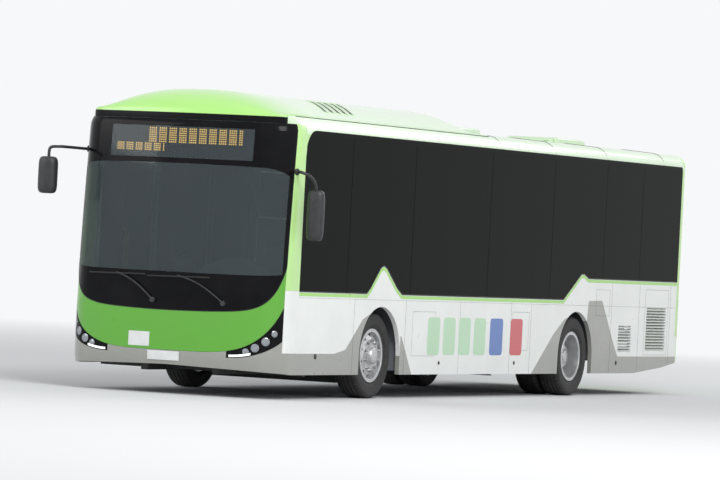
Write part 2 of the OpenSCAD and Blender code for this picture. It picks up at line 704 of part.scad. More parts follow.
display_s = 235;
display_hw = hw - 425;  // half width of the display
display_h = 380;
module destination_display() {
    z = ceiling_z - 120 - display_h;
    color(black) {
        translate([-display_hw, st(display_s), z]) cube([2 * display_hw, 90, display_h]);
        both_sides() translate([display_hw - 150, st(display_s) + 20, z + display_h])
            cube([60, 50, ceiling_z - z - display_h]);
    }
}

// A round tube along a path that bends at each point: one ring of corners a point
function unit(v) = v / norm(v);
function ring(p, along, r) = let (a = unit(cross(along, [0, 0.3, 1])), b = unit(cross(a, along)))
    [for (k = [0:11]) p + r * (cos(30 * k) * a + sin(30 * k) * b)];
module bent_tube(path, r) {
    n = len(path);
    loft([for (i = [0:n - 1]) ring(path[i], path[min(i + 1, n - 1)] - path[max(i - 1, 0)], r)]);
}

// A mirror head: a rounded shell in plan with its flat side to the rear
module mirror_head(x, y, z, w, d, h) {
    translate([x, y, z]) linear_extrude(h) polygon(concat([[w, d], [0, d]],
        [for (a = [180:15:360]) [w / 2 + w / 2 * cos(a), d * 0.55 + d * 0.55 * sin(a)]]));
}

// The foot of a mirror's arm on a corner pillar, and the point where the arm turns
root_g = (steps + 1) * screen_girth / steps;
function arm_root(z) = [skin_point(root_g, z, -1.5), skin_point(root_g, z, -45)];

module mirrors() {
    color(black) {
        // Doorway side: an arm from the corner pillar, with the head below its end
        mirror([1, 0, 0]) {
            bent_tube(concat(arm_root(2590), [[hw + 45, st(-30), 2592], [hw + 80, st(-85), 2590],
                [hw + 140, st(-108), 2586], [hw + 170, st(-112), 2570], [hw + 180, st(-112), 2530],
                [hw + 180, st(-112), 2470]]), 16);
            mirror_head(hw + mirror_out - 210, st(-mirror_ahead), 2080, 210, 130, 400);
        }
        // Driver's side: an arm that curves out and down to a narrow head
        bent_tube(concat(arm_root(2440), [[hw + 100, st(330), 2432], [hw + 150, st(375), 2408],
            [hw + 180, st(440), 2360], [hw + 190, st(485), 2300], [hw + 190, st(500), 2240]]), 16);
        mirror_head(hw + mirror_out - 190, st(440), 1710, 190, 110, 545);
    }
}

dash_z = 1300;          // height of the top of the dashboard
dash_hw = 1050;         // its half width
hood_h = 190;           // rise of the instrument hood over it
hood_hw = 440;          // half width of the hood
podium_h = 300;         // height of the driver's podium
podium_x = 200;         // distance from the middle to the podium's inner side
cab_end = 1710;         // station of the rear edge of the podium

function hood_arc(bend_r, r, a) = arc(wheel_x, dash_z - 1 + hood_h - bend_r, r, 90 - a, 90 + a, 12);

module dashboard() {
    hood_r = (hood_hw * hood_hw + hood_h * hood_h) / (2 * hood_h);
    hood_a = asin(hood_hw / hood_r);
    shelf = [[st(240), dash_z - 150], [st(240), dash_z - 115], [st(280), dash_z - 40], [st(340), dash_z],
        [st(500), dash_z], [st(540), dash_z - 30], [st(535), dash_z - 120], [st(500), dash_z - 190],
        [st(430), dash_z - 220], [st(360), dash_z - 230], [st(360), floor_z], [st(300), floor_z],
        [st(300), dash_z - 180]];
    color([0.15, 0.15, 0.16]) {
        side_plate(-dash_hw, 2 * dash_hw, shelf);
        difference() {
            side_plate_across(st(350), 150, hood_arc(hood_r, hood_r, hood_a));
            side_plate_across(st(420), 150, hood_arc(hood_r, hood_r - 30, hood_a - 6));
        }
    }
}

module podium() {
    translate([podium_x, st(360) + fit, floor_z - 1]) cube([1000 - podium_x, pillar_s - 359, podium_h + 1]);
    translate([podium_x, pillar_y, floor_z - 1])
        cube([hw - wall_t - podium_x, cab_end - pillar_s, podium_h + 1]);
}

wheel_x = 600;          // distance from the middle to the steering wheel
module steering_wheel() {
    tilt = 25;
    hub_z = dash_z + 70;
    color(black) difference() {
        translate([wheel_x, st(760), hub_z]) rotate([-tilt, 0, 0]) {
            rotate_extrude($fn = 48) translate([225, 0]) circle(r = 16, $fn = 16);
            cylinder(h = 20, r = 60, $fn = 32);
            for (a = [0, 120, 240]) rotate([0, 0, a]) translate([0, -15, 0]) cube([225, 30, 12]);
            translate([0, 0, -hub_z]) cylinder(h = hub_z + 1, r = 35, $fn = 24);
        }
        translate([wheel_x - 500, st(-400), floor_z + podium_h - 1500]) cube([1000, 1700, 1500]);
    }
}

// A seat in three solids that lie on each other: its stand, its cushion and its back
cushion_t = 90;
back_lean = 8;
module seat_stand(x, y, floor_at, w) {
    translate([x - w / 2, y + 120, floor_at]) cube([w, 200, seat_h - cushion_t - 20]);
    translate([x - w / 2, y + 60, floor_at + seat_h - cushion_t - 21]) cube([w, 395, 21 - fit]);
    translate([x - w / 2, y + 435, floor_at + seat_h - cushion_t - 21])
        cube([w, 20, 61 - 15 * tan(back_lean) - fit]);
}

module seat_cushion(x, y, floor_at) {
    translate([x - seat_w / 2, y, floor_at + seat_h - cushion_t]) cube([seat_w, 430, cushion_t]);
}

module seat_back(x, y, floor_at) {
    translate([x - seat_w / 2, y + 440, floor_at + seat_h - cushion_t + 40]) rotate([-back_lean, 0, 0])
        cube([seat_w, 70, back_h + cushion_t - 40]);
}

module driver_seat() {
    color([0.2, 0.25, 0.35]) {
        seat_stand(wheel_x, st(1050), floor_z + podium_h, 160);
        seat_cushion(wheel_x, st(1050), floor_z + podium_h);
        seat_back(wheel_x, st(1050), floor_z + podium_h);
    }
}

partition_h = 1300;
module driver_partition() {
    color([0.5, 0.5, 0.52]) translate([podium_x, st(cab_end) - 30, floor_z + podium_h])
        cube([hw - wall_t - podium_x, 30, partition_h]);
}

// Rows of seats: station, floor height and whether the right side has a pair too
bay_pitch = (body_l - wall_t - bay_s - 40) / 2;
seat_rows = [[between(0.13), floor_z, 0], [between(0.427), floor_z, 0], [between(0.583), floor_z, 1],
    [rear_axle_s - 930, rear_floor_z, 1], [rear_axle_s + 660, rear_floor_z, 1],
    [bay_s + 20, bay_z, 1], [bay_s + 20 + bay_pitch, bay_z, 1]];

// The children at each place of each row, with the place in $x, $y and $z
module at_seats(places) {
    for (r = seat_rows, side = r[2] ? [-1, 1] : [1], k = places) {
        $x = side * (hw - wall_t - seat_w * (k + 0.5) - 20 * k - 20);
        $y = st(r[0]);
        $z = r[1];
        children();
    }
}

module seat_stands() {
    color(steel) at_seats([0.5]) seat_stand($x, $y, $z, seat_w + 60);
}

module seat_cushions() {
    color([0.15, 0.25, 0.55]) at_seats([0, 1]) seat_cushion($x, $y, $z);
}

module seat_backs() {
    color([0.15, 0.25, 0.55]) at_seats([0, 1]) seat_back($x, $y, $z);
}

module handrails() {
    posts = [[0.27, 1], [0.27, -1], [0.405, 1], [0.565, 1], [0.565, -1], [0.705, 1], [0.705, -1]];
    color([0.9, 0.75, 0.1]) for (p = posts) translate([330 * p[1], st(between(p[0])), floor_z])
        cylinder(h = ceiling_z - floor_z, r = 17, $fn = 24);
}

rail_x = 430;           // distance from the middle to a rail of the frame
rail_w = 80;
jack_s = 4500;          // station of the jacking pads under the rails
jack_pad = 160;
box_in = 545;           // distance from the middle to the inner wall of a wheel box
box_half = 600;         // half length of a wheel box
box_z = tyre_r + arch_r + 50;
// Anchor holes for a wheelchair by the middle doorway: place, spacing and radius
anchor_x = 850;
anchor_s = 4760;
anchor_dx = 400;
anchor_dy = 500;
anchor_r = 6;

module wheel_box(y, base) {
    both_sides() difference() {
        translate([box_in, y - box_half, base]) cube([hw - wall_t - box_in, 2 * box_half, box_z - base]);
        translate([box_in + 12, y - box_half + 12, base - 1])
            cube([hw - wall_t - box_in, 2 * box_half - 24, box_z - base - 11]);
    }
}

module wheel_boxes() {
    color([0.3, 0.31, 0.33]) {
        wheel_box(front_axle_y, floor_z + fit);
        wheel_box(rear_axle_y, rear_floor_z + fit);
    }
}

module box_holes(y, z) {
    both_sides() translate([box_in + 12, y - box_half + 12, z - floor_t - 1])
        cube([hw, 2 * box_half - 24, floor_t + 2]);
}

module floor_low() {
    in_w = hw - wall_t;
    color([0.3, 0.31, 0.33]) difference() {
        union() {
            translate([-1000, st(240), floor_z - floor_t]) cube([2000, pillar_s - 239, floor_t]);
            translate([-in_w, pillar_y, floor_z - floor_t])
                cube([2 * in_w, rear_floor_s - floor_t - fit - pillar_s, floor_t]);
            podium();
        }
        box_holes(front_axle_y, floor_z);
        for (x = [-0.5, 0.5], y = [-0.5, 0.5])
            translate([anchor_x + x * anchor_dx, st(anchor_s) + y * anchor_dy, floor_z - floor_t - 1])
                cylinder(h = floor_t + 2, r = anchor_r, $fn = 32);
    }
}

// The rear floor and the deck over the engine, each with its step
module floor_rear() {
    in_w = hw - wall_t;
    color([0.3, 0.31, 0.33]) {
        translate([-in_w, st(rear_floor_s) - floor_t, floor_z - floor_t])
            cube([2 * in_w, floor_t - fit, rear_rise - fit]);
        difference() {
            translate([-in_w, st(rear_floor_s) - floor_t, rear_floor_z - floor_t])
                cube([2 * in_w, bay_s - rear_floor_s, floor_t]);
            box_holes(rear_axle_y, rear_floor_z);
        }
        translate([-in_w, st(bay_s) - floor_t + fit, rear_floor_z - floor_t])
            cube([2 * in_w, floor_t - fit, bay_rise - fit]);
        translate([-in_w, st(bay_s) - floor_t, bay_z - floor_t])
            cube([2 * in_w, wall_end_y - st(bay_s) + floor_t, floor_t]);
    }
}

module chassis_frame() {
    low_z = floor_z - floor_t - 75;
    color(steel) {
        for (x = [-1, 1]) {
            translate([x * rail_x - rail_w / 2, st(400), low_z])
                cube([rail_w, rear_floor_s + rail_w - 400, 75]);
            translate([x * rail_x - rail_w / 2, st(rear_floor_s), low_z])
                cube([rail_w, rail_w, rear_floor_z - floor_t - low_z]);
            translate([x * rail_x - rail_w / 2, st(rear_floor_s), rear_floor_z - floor_t - 100])
                cube([rail_w, body_l - rear_floor_s - 300, 100]);
            translate([x * rail_x - jack_pad / 2, st(jack_s) - jack_pad / 2, low_z - 20])
                cube([jack_pad, jack_pad, 21]);
        }
        for (s = [900, 4200, 6000]) translate([-hw + wall_t, st(s), floor_z - floor_t - 60])
            cube([body_w - 2 * wall_t, 60, 60]);
    }
}

beam_z = 190;
spindle_r = 40;
shaft_r = 55;
module front_axle() {
    kx = front_track - kingpin_in;
    color(steel) {
        translate([-kx + 140, front_axle_y - 50, beam_z - 40]) cube([2 * kx - 280, 100, 80]);
        both_sides() {
            translate([kx - 200, front_axle_y - 50, beam_z - 40]) cube([80, 100, 340]);
            translate([kx - 200, front_axle_y - 50, tyre_r - 60]) cube([150, 100, 120]);
            translate([kx, front_axle_y, tyre_r - 90]) cylinder(h = 180, r = 22, $fn = 32);
            translate([kx - 60, front_axle_y - 30, tyre_r - 20]) cube([60, 60, 40]);
        }
        for (x = [-1, 1]) translate([x * rail_x - 40, front_axle_y - 40, beam_z + 40])
            cube([80, 80, floor_z - floor_t - 75 - beam_z - 40]);
    }
}

module knuckle() {
    kx = front_track - kingpin_in;
    color(steel) translate([0, front_axle_y, tyre_r]) {
        for (z = [-85, 45]) difference() {
            translate([kx, 0, z]) cylinder(h = 40, r = 45, $fn = 32);
            translate([kx, 0, z - 1]) cylinder(h = 42, r = 22 + fit, $fn = 32);
        }
        translate([kx + 35, -40, -85]) cube([40, 80, 170]);
        translate([kx + 70, 0, 0]) rotate([0, 90, 0]) cylinder(h = 190, r = spindle_r, $fn = 32);
    }
}

module knuckle_left() {
    knuckle();
}

module knuckle_right() {
    mirror([1, 0, 0]) knuckle();
}

module rear_axle() {
    color(steel) translate([0, rear_axle_y, tyre_r]) {
        rotate([0, 90, 0]) rotate_extrude($fn = 48) polygon(concat(
            [[0, -rear_track - 20], [shaft_r, -rear_track - 20], [shaft_r, -600], [85, -590]],
            arc(0, 0, 200, -65, 65, 10), [[85, 590], [shaft_r, 600], [shaft_r, rear_track + 20],
            [0, rear_track + 20]]));
        for (x = [-1, 1]) translate([x * rail_x - 40, -40, 0])
            cube([80, 80, rear_floor_z - floor_t - 100 - tyre_r]);
    }
}

bead_r = 286;
module tyre(x) {
    w = tyre_w / 2;
    translate([x, 0, tyre_r]) rotate([0, 90, 0]) rotate_extrude($fn = 72)
        polygon(concat([[bead_r, -100], [bead_r + 22, -100], [bead_r + 80, -w]],
            arc(tyre_r - 38, -w + 38, 38, 250, 360, 5), arc(tyre_r - 38, w - 38, 38, 0, 110, 5),
            [[bead_r + 80, w], [bead_r + 22, 100], [bead_r, 100]]));
}

module tyre_front_left() {
    color(black) translate([0, front_axle_y, 0]) tyre(front_track);
}

module tyre_front_right() {
    color(black) translate([0, front_axle_y, 0]) tyre(-front_track);
}

module tyres_rear_left() {
    color(black) translate([0, rear_axle_y, 0]) {
        tyre(rear_track);
        tyre(rear_track - twin_gap);
    }
}

module tyres_rear_right() {
    color(black) translate([0, rear_axle_y, 0]) {
        tyre(-rear_track);
        tyre(-rear_track + twin_gap);
    }
}

// A rim about X: barrel, dished disc from the barrel to the hub face, and a hub
module rim(x, disc, dish, bore, hub_l) {
    translate([x, 0, tyre_r]) rotate([0, 90, 0]) difference() {
        rotate_extrude($fn = 72) union() {
            polygon([[262, -112], [300, -112], [300, -100 - fit], [bead_r - fit, -100 - fit],
                [bead_r - fit, 100 + fit], [300, 100 + fit], [300, 112], [262, 112]]);
            polygon([[264, disc - 7], [264, disc + 7], [190, disc + dish + 7], [bore, disc + dish + 7],
                [bore, disc + dish - 7], [190, disc + dish - 7]]);
            polygon([[bore, disc + dish - hub_l], [130, disc + dish - hub_l], [130, disc + dish],
                [bore, disc + dish]]);
        }
        for (i = [0:9]) rotate([0, 0, 36 * i]) translate([228, 0, disc - 60])
            cylinder(h = 150, r = 22, $fn = 24);
    }
}

module rim_front_left() {
    color(silver) translate([0, front_axle_y, 0]) rim(front_track, 55, 45, spindle_r + fit, 150);
}

module rim_front_right() {
    mirror([1, 0, 0]) rim_front_left();
}

module rims_rear_left() {
    color(silver) translate([0, rear_axle_y, 0]) {
        rim(rear_track, -100, 107 - twin_gap / 2, shaft_r + fit, -170);
        rim(rear_track - twin_gap, 100, twin_gap / 2 - 107, shaft_r + fit, 60);
    }
}

module rims_rear_right() {
    mirror([1, 0, 0]) rims_rear_left();
}

// A doorway has two leaves. Each hangs on the two arms of a post behind the wall, which pass
// below and above it, and its other edge runs along a rail over the doorway. So as the post
// turns inward, the leaf turns the other way by twice that angle and folds in beside it.
jamb = -30;             // distance from the edge of the doorway to the post's axis
edge_gap = 12;          // gap between a leaf and the doorway's edge beside its post
guide = 30;             // distance from the leaf's guide pin to its free edge
arm_t = 18;             // thickness of an arm
arm_gap = 6;            // gap between an arm and the floor, the leaf or the housing
leaf_low = floor_z + arm_t + 2 * arm_gap;
leaf_top = header_z - arm_t - 2 * arm_gap;
arm_l = (door_w / 2 - jamb - guide - shut / 2) / 2;
leaf_pin_r = 10;
lug_h = 20;
// Each leaf: the doorway's edge by the leaf, and 1 or -1 for the way the leaf reaches from it
leaves = [[door_1_s, 1], [door_1_s + door_w, -1], [door_2_s, 1], [door_2_s + door_w, -1]];

module at_leaf(i) {
    translate([-hw, st(leaves[i][0]), 0]) scale_y(leaves[i][1]) children();
}

module scale_y(sign) {
    if (sign > 0) children();
    else mirror([0, 1, 0]) children();
}

module post(i) {
    color(silver) at_leaf(i) translate([post_in, jamb, 0]) {
        translate([0, 0, floor_z + fit]) cylinder(h = header_z - floor_z - 2 * fit, r = post_r, $fn = 32);
        for (z = [floor_z + arm_gap, header_z - arm_gap - arm_t]) difference() {
            union() {
                translate([-12, 0, z]) cube([24, arm_l, arm_t]);
                translate([0, arm_l, z]) cylinder(h = arm_t, r = 2 * leaf_pin_r, $fn = 32);
            }
            translate([0, arm_l, z - 1]) cylinder(h = arm_t + 2, r = leaf_pin_r + fit, $fn = 32);
        }
    }
}

module leaf(i) {
    y1 = jamb + 2 * arm_l + guide;
    stile = 60;
    color(black) at_leaf(i) {
        difference() {
            translate([0, edge_gap, leaf_low]) cube([leaf_t, y1 - edge_gap, leaf_top - leaf_low]);
            translate([-1, edge_gap + stile, leaf_low + 110])
                cube([leaf_t + 2, y1 - edge_gap - 2 * stile, leaf_top - leaf_low - 200]);
        }
        for (z = [leaf_low, leaf_top - lug_h]) {
            translate([post_in, jamb + arm_l, z]) cylinder(h = lug_h, r = 2 * leaf_pin_r, $fn = 32);
            translate([leaf_t - 1, jamb + arm_l - 15, z]) cube([post_in - leaf_t + 1, 30, lug_h]);
        }
        translate([post_in, jamb + arm_l, floor_z + arm_gap])
            cylinder(h = leaf_low + lug_h - floor_z - arm_gap, r = leaf_pin_r, $fn = 32);
        translate([post_in, jamb + arm_l, leaf_top - lug_h])
            cylinder(h = header_z - arm_gap - leaf_top + lug_h, r = leaf_pin_r, $fn = 32);
    }
}

module leaf_pane(i) {
    y0 = edge_gap + 60;
    y1 = jamb + 2 * arm_l + guide - 60;
    color(glass) at_leaf(i) translate([leaf_t / 2 - 4, y0 + fit, leaf_low + 110 + fit])
        cube([8, y1 - y0 - 2 * fit, leaf_top - leaf_low - 200 - 2 * fit]);
}

module post_1() { post(0); }
module post_2() { post(1); }
module post_3() { post(2); }
module post_4() { post(3); }
module leaf_1() { leaf(0); }
module leaf_2() { leaf(1); }
module leaf_3() { leaf(2); }
module leaf_4() { leaf(3); }
module pane_1() { leaf_pane(0); }
module pane_2() { leaf_pane(1); }
module pane_3() { leaf_pane(2); }
module pane_4() { leaf_pane(3); }

chassis_frame();
floor_low();
floor_rear();
wheel_boxes();
side_wall_left();
side_wall_right();
arch_flares();
side_glass();
side_grilles();
roof();
roof_fairing();
hatch_front();
hatch_rear();
rear_wall();
rear_window();
engine_lid();
engine();
tail_lamps();
front_mask();
corner_pillars();
corner_panels();
windscreen();
front_bumper();
headlamps();
destination_display();
mirrors();
dashboard();
steering_wheel();
driver_seat();
driver_partition();
seat_stands();
seat_cushions();
seat_backs();
handrails();
front_axle();
knuckle_left();
knuckle_right();
rear_axle();
tyre_front_left();
tyre_front_right();
tyres_rear_left();
tyres_rear_right();
rim_front_left();
rim_front_right();
rims_rear_left();
rims_rear_right();
post_1();
post_2();
post_3();
post_4();
leaf_1();
leaf_2();
leaf_3();
leaf_4();
pane_1();
pane_2();
pane_3();
pane_4();
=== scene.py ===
from math import asin, copysign, cos, degrees, exp, log, pi, radians, sin, sqrt

import bmesh
import bpy
from mathutils import Matrix, Vector


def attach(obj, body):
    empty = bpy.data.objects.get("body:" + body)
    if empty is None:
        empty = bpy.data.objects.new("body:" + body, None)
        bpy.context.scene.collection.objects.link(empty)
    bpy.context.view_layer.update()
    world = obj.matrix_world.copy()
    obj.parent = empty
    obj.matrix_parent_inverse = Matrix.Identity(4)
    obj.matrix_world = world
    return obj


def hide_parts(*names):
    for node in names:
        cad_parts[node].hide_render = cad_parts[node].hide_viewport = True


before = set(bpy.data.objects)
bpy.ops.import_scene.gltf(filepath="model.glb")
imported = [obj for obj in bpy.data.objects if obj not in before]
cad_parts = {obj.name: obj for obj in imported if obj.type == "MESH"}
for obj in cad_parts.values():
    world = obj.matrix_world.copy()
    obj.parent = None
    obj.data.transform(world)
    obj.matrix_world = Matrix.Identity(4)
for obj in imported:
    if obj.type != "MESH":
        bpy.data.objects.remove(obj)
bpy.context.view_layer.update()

# Places in metres, the same as in the CAD source
FRONT_Y, REAR_Y = -5.9, 6.1
HW = 1.275                          # half the body's width
SKIRT_Z, BAND_Z, BELT_Z, REAR_BELT_Z = 0.27, 0.5, 1.17, 1.435
GLAZING_TOP_Z, ROOF_Z = 2.85, 3.08
TYRE_R = 0.478
WHEELBASE = 5.73
FRONT_AXLE_Y = FRONT_Y + 2.76
REAR_AXLE_Y = FRONT_AXLE_Y + WHEELBASE
FRONT_TRACK, REAR_TRACK, TWIN_GAP = 1.06, 1.105, 0.31
LOW_FLOOR_Z, CAB_FLOOR_Z, REAR_FLOOR_Z, DECK_Z, CEILING_Z = 0.34, 0.64, 0.85, 1.18, 3.0
CAB_X = 0.6                         # the middle of the driver's place
DOORWAYS = ((0.68, 1.98), (4.62, 5.92))
GLAZING_END = 11.82                 # station of the side glazing's rear end

AXIS = 0.0001                       # radius of a turned profile's points next to the axis
SIDES = ((1, "left"), (-1, "right"))
UP = Vector((0, 0, 1))


def st(s):
    """The y of a station in metres behind the foremost point of the body."""
    return FRONT_Y + s


def span(a, b, n):
    """Values from a to b in n even steps."""
    return [a + (b - a) * i / n for i in range(n + 1)]


def circle(n):
    """The angles of n points round a circle."""
    return [2 * pi * k / n for k in range(n)]


def rounded(w, h, r):
    """Points round a rectangle of half width w and half height h, with corners of radius r."""
    corners = ((w - r, h - r, 0), (r - w, h - r, 90), (r - w, r - h, 180), (w - r, r - h, 270))
    return [(cx + r * cos(a), cy + r * sin(a)) for cx, cy, first in corners
            for a in (radians(first + 15 * k) for k in range(7))]


def sorted_box(a, b):
    return tuple(map(min, a, b)), tuple(map(max, a, b))


# ---------------------------------------------------------------- materials

COAT_ROUGHNESS = 0.06
PAINT_NOISE, PAINT_ROUGHNESS, PAINT_GRAIN = 1.6, (0.26, 0.36), (55.0, 0.00015)


class Tree:
    """The nodes of a material or a world."""

    def __init__(self, owner, output):
        owner.use_nodes = True
        self.nodes, self.links = owner.node_tree.nodes, owner.node_tree.links
        self.nodes.clear()
        self.output = self.nodes.new(output)

    def node(self, kind, inputs, result=0, **settings):
        """One output of a new node, whose inputs are values or the outputs of other nodes."""
        made = self.nodes.new("ShaderNode" + kind)
        for key, value in settings.items():
            setattr(made, key, value)
        for key, value in inputs.items():
            if isinstance(value, bpy.types.NodeSocket):
                self.links.new(value, made.inputs[key])
            else:
                made.inputs[key].default_value = value
        return made.outputs[result]

    def show(self, shader):
        self.links.new(shader, self.output.inputs["Surface"])

    def noise(self, scale, detail=4.0):
        return self.node("TexNoise", {"Vector": self.node("TexCoord", {}, "Object"), "Scale": scale,
                                      "Detail": detail, "Roughness": 0.55}, "Fac")

    def remap(self, value, low, high, to_low=0.0, to_high=1.0):
        return self.node("MapRange", {"Value": value, "From Min": low, "From Max": high,
                                      "To Min": to_low, "To Max": to_high}, "Result")

    def mix(self, fac, a, b):
        """Two colours mixed."""
        return self.node("Mix", {0: fac, 6: a, 7: b}, 2, data_type="RGBA")

    def grain(self, scale, depth):
        return self.node("Bump", {"Height": self.noise(scale, 3.0), "Distance": depth}, "Normal")


def new_material(name):
    m = bpy.data.materials.new(name)
    return m, Tree(m, "ShaderNodeOutputMaterial")


def surface(name, colour, second, scale, roughness, metallic=0.0, coat=0.0, grain=None, extra=None):
    """A principled material with two mixed colours, a roughness range and an optional grain."""
    m, tree = new_material(name)
    fac = tree.noise(scale)
    inputs = {"Base Color": tree.mix(tree.remap(fac, 0.35, 0.65), (*colour, 1), (*second, 1)),
              "Roughness": tree.remap(fac, 0.3, 0.7, *roughness), "Metallic": metallic,
              "Coat Weight": coat, "Coat Roughness": COAT_ROUGHNESS, **(extra or {})}
    if grain:
        inputs["Normal"] = tree.grain(*grain)
    tree.show(tree.node("BsdfPrincipled", inputs))
    return m


def paint(name, colour):
    dull = tuple(c * 0.93 + 0.012 for c in colour)
    return surface(name, colour, dull, PAINT_NOISE, PAINT_ROUGHNESS, coat=0.6, grain=PAINT_GRAIN)


def glass_like(name, tint, opacity, shine):
    """Tinted glass: mirror-like outside, and as see-through as opacity leaves it."""
    m, tree = new_material(name)
    fac = tree.noise(0.8)
    darker = tuple(c * 0.75 for c in tint)
    glass = tree.node("BsdfPrincipled", {
        "Base Color": tree.mix(fac, (*tint, 1), (*darker, 1)),
        "Roughness": tree.remap(fac, 0.3, 0.7, 0.04, 0.08), "Specular IOR Level": shine})
    clear = tree.node("BsdfTransparent", {"Color": (0.75, 0.8, 0.78, 1)})
    tree.show(tree.node("MixShader", {0: opacity, 1: clear, 2: glass}))
    return m


def sun_fade_and_shadow_paint(name, front, rear, y0, y1, foot):
    """Glossy paint that runs from one colour at y0 to another at y1, the paler one a painted sunlit highlight on
    green paint, over a black foot that is a painted shadow line.
    """
    m, tree = new_material(name)
    place = tree.node("TexCoord", {}, "Object")
    y, z = (tree.node("SeparateXYZ", {0: place}, axis) for axis in "YZ")
    # below foot the paint is black, dull and uncoated: a painted shadow line under the fairing's edge
    above_painted_shadow = tree.remap(z, foot - 0.0005, foot + 0.0005)
    # the fade towards the pale colour is painted sunlight washing the green paint out
    painted_sun_fade = tree.mix(tree.remap(y, y0, y1), (*front, 1), (*rear, 1))
    tree.show(tree.node("BsdfPrincipled", {
        "Base Color": tree.mix(above_painted_shadow, (0.004, 0.004, 0.005, 1), painted_sun_fade),
        "Coat Weight": tree.remap(above_painted_shadow, 0.0, 1.0, 0.0, 0.6), "Coat Roughness": COAT_ROUGHNESS,
        "Specular IOR Level": tree.remap(above_painted_shadow, 0.0, 1.0, 0.12, 0.5),
        "Roughness": tree.remap(tree.noise(PAINT_NOISE), 0.3, 0.7, *PAINT_ROUGHNESS),
        "Normal": tree.grain(*PAINT_GRAIN)}))
    return m


def glow(name, colour, strength):
    return surface(name, colour, tuple(c * 0.9 for c in colour), 30.0, (0.2, 0.3), extra={
        "Emission Color": (*colour, 1), "Emission Strength": strength})


MAT = {
    "white": paint("coach_white", (0.88, 0.9, 0.87)),
    "green": paint("mask_green", (0.1, 0.41, 0.016)),
    # the roof's green paint drawn pale as the sun washes it out: painted sunlight, shared by the hatches and the
    # slot lips
    "mint": paint("roof_green_painted_sunlit", (0.72, 0.9, 0.64)),
    # the fairing's green fades to pale mint towards its top: painted sunlight; its black foot is a painted shadow
    # line
    "roof_sun_fade": sun_fade_and_shadow_paint("fairing_green_painted_sunlit", (0.42, 0.8, 0.2), (0.74, 0.92, 0.66), -5.72, -4.7, 3.018),
    "light_green": paint("pillar_green", (0.52, 0.84, 0.3)),
    "stripe": paint("belt_stripe_green", (0.36, 0.74, 0.14)),
    "grey": paint("band_grey", (0.34, 0.34, 0.31)),
    "frame": surface("chassis_black", (0.03, 0.031, 0.033), (0.06, 0.058, 0.055), 6.0, (0.5, 0.75),
                     grain=(90.0, 0.0006)),
    "silver": surface("rim_silver", (0.62, 0.63, 0.64), (0.5, 0.5, 0.5), 9.0, (0.28, 0.42), 0.65,
                      grain=(160.0, 0.0002)),
    "steel": surface("brushed_post", (0.58, 0.58, 0.58), (0.46, 0.46, 0.47), 12.0, (0.25, 0.4), 0.9),
    "tyre": surface("tyre_rubber", (0.018, 0.018, 0.019), (0.04, 0.038, 0.036), 14.0, (0.65, 0.85),
                    grain=(220.0, 0.0005)),
    "rubber": surface("seal_rubber", (0.012, 0.012, 0.013), (0.022, 0.022, 0.022), 20.0, (0.5, 0.7),
                      grain=(150.0, 0.0003)),
    "gloss_black": surface("gloss_black", (0.004, 0.004, 0.005), (0.007, 0.007, 0.008), 3.0, (0.1, 0.18),
                           extra={"Specular IOR Level": 0.1}),
    "plastic": surface("moulded_black", (0.02, 0.02, 0.022), (0.032, 0.032, 0.034), 18.0, (0.4, 0.55),
                       grain=(240.0, 0.0003)),
    "dash": surface("dash_grain", (0.1, 0.12, 0.15), (0.13, 0.15, 0.18), 10.0, (0.5, 0.65),
                    grain=(300.0, 0.0004)),
    "floor": surface("floor_fleck", (0.16, 0.17, 0.19), (0.24, 0.25, 0.27), 180.0, (0.5, 0.7),
                     grain=(120.0, 0.0003)),
    "fabric": surface("seat_weave", (0.03, 0.07, 0.2), (0.05, 0.12, 0.3), 60.0, (0.8, 0.95),
                      grain=(400.0, 0.001)),
    "driver_fabric": surface("driver_seat_weave", (0.025, 0.028, 0.035), (0.05, 0.055, 0.065), 60.0,
                             (0.8, 0.95), grain=(400.0, 0.001)),
    "seat_shell": surface("seat_shell_grey", (0.14, 0.15, 0.17), (0.18, 0.19, 0.21), 22.0, (0.4, 0.55),
                          grain=(260.0, 0.0003)),
    "mirror": surface("mirror_silver", (0.86, 0.87, 0.88), (0.82, 0.83, 0.84), 2.0, (0.02, 0.04), 1.0),
    "yellow": surface("rail_yellow", (0.8, 0.52, 0.03), (0.72, 0.46, 0.03), 8.0, (0.3, 0.4), coat=0.3),
    "red_lens": surface("lens_red", (0.45, 0.012, 0.01), (0.32, 0.01, 0.01), 25.0, (0.1, 0.2), coat=0.8,
                        grain=(80.0, 0.0006)),
    "amber_lens": surface("lens_amber", (0.8, 0.25, 0.01), (0.7, 0.2, 0.01), 25.0, (0.1, 0.2), coat=0.8),
    "tinted": glass_like("side_tint", (0.002, 0.0024, 0.0024), 0.97, 0.03),
    "screen": glass_like("screen_clear", (0.085, 0.105, 0.115), 0.42, 0.45),
    "lens_clear": surface("lens_clear", (0.34, 0.36, 0.39), (0.26, 0.28, 0.31), 40.0, (0.08, 0.16), 0.4,
                          coat=0.8),
    "plate_white": surface("plate_white", (0.8, 0.81, 0.8), (0.74, 0.75, 0.74), 12.0, (0.3, 0.4)),
    "pale_green": paint("letter_pale_green", (0.5, 0.76, 0.5)),
    "plain_blue": paint("letter_blue", (0.04, 0.15, 0.5)),
    "plain_red": paint("letter_red", (0.62, 0.03, 0.05)),
    "lamp_white": glow("lamp_white", (0.95, 0.96, 0.98), 0.6),
    "amber_glow": glow("display_amber", (1.0, 0.58, 0.16), 3.2),
}

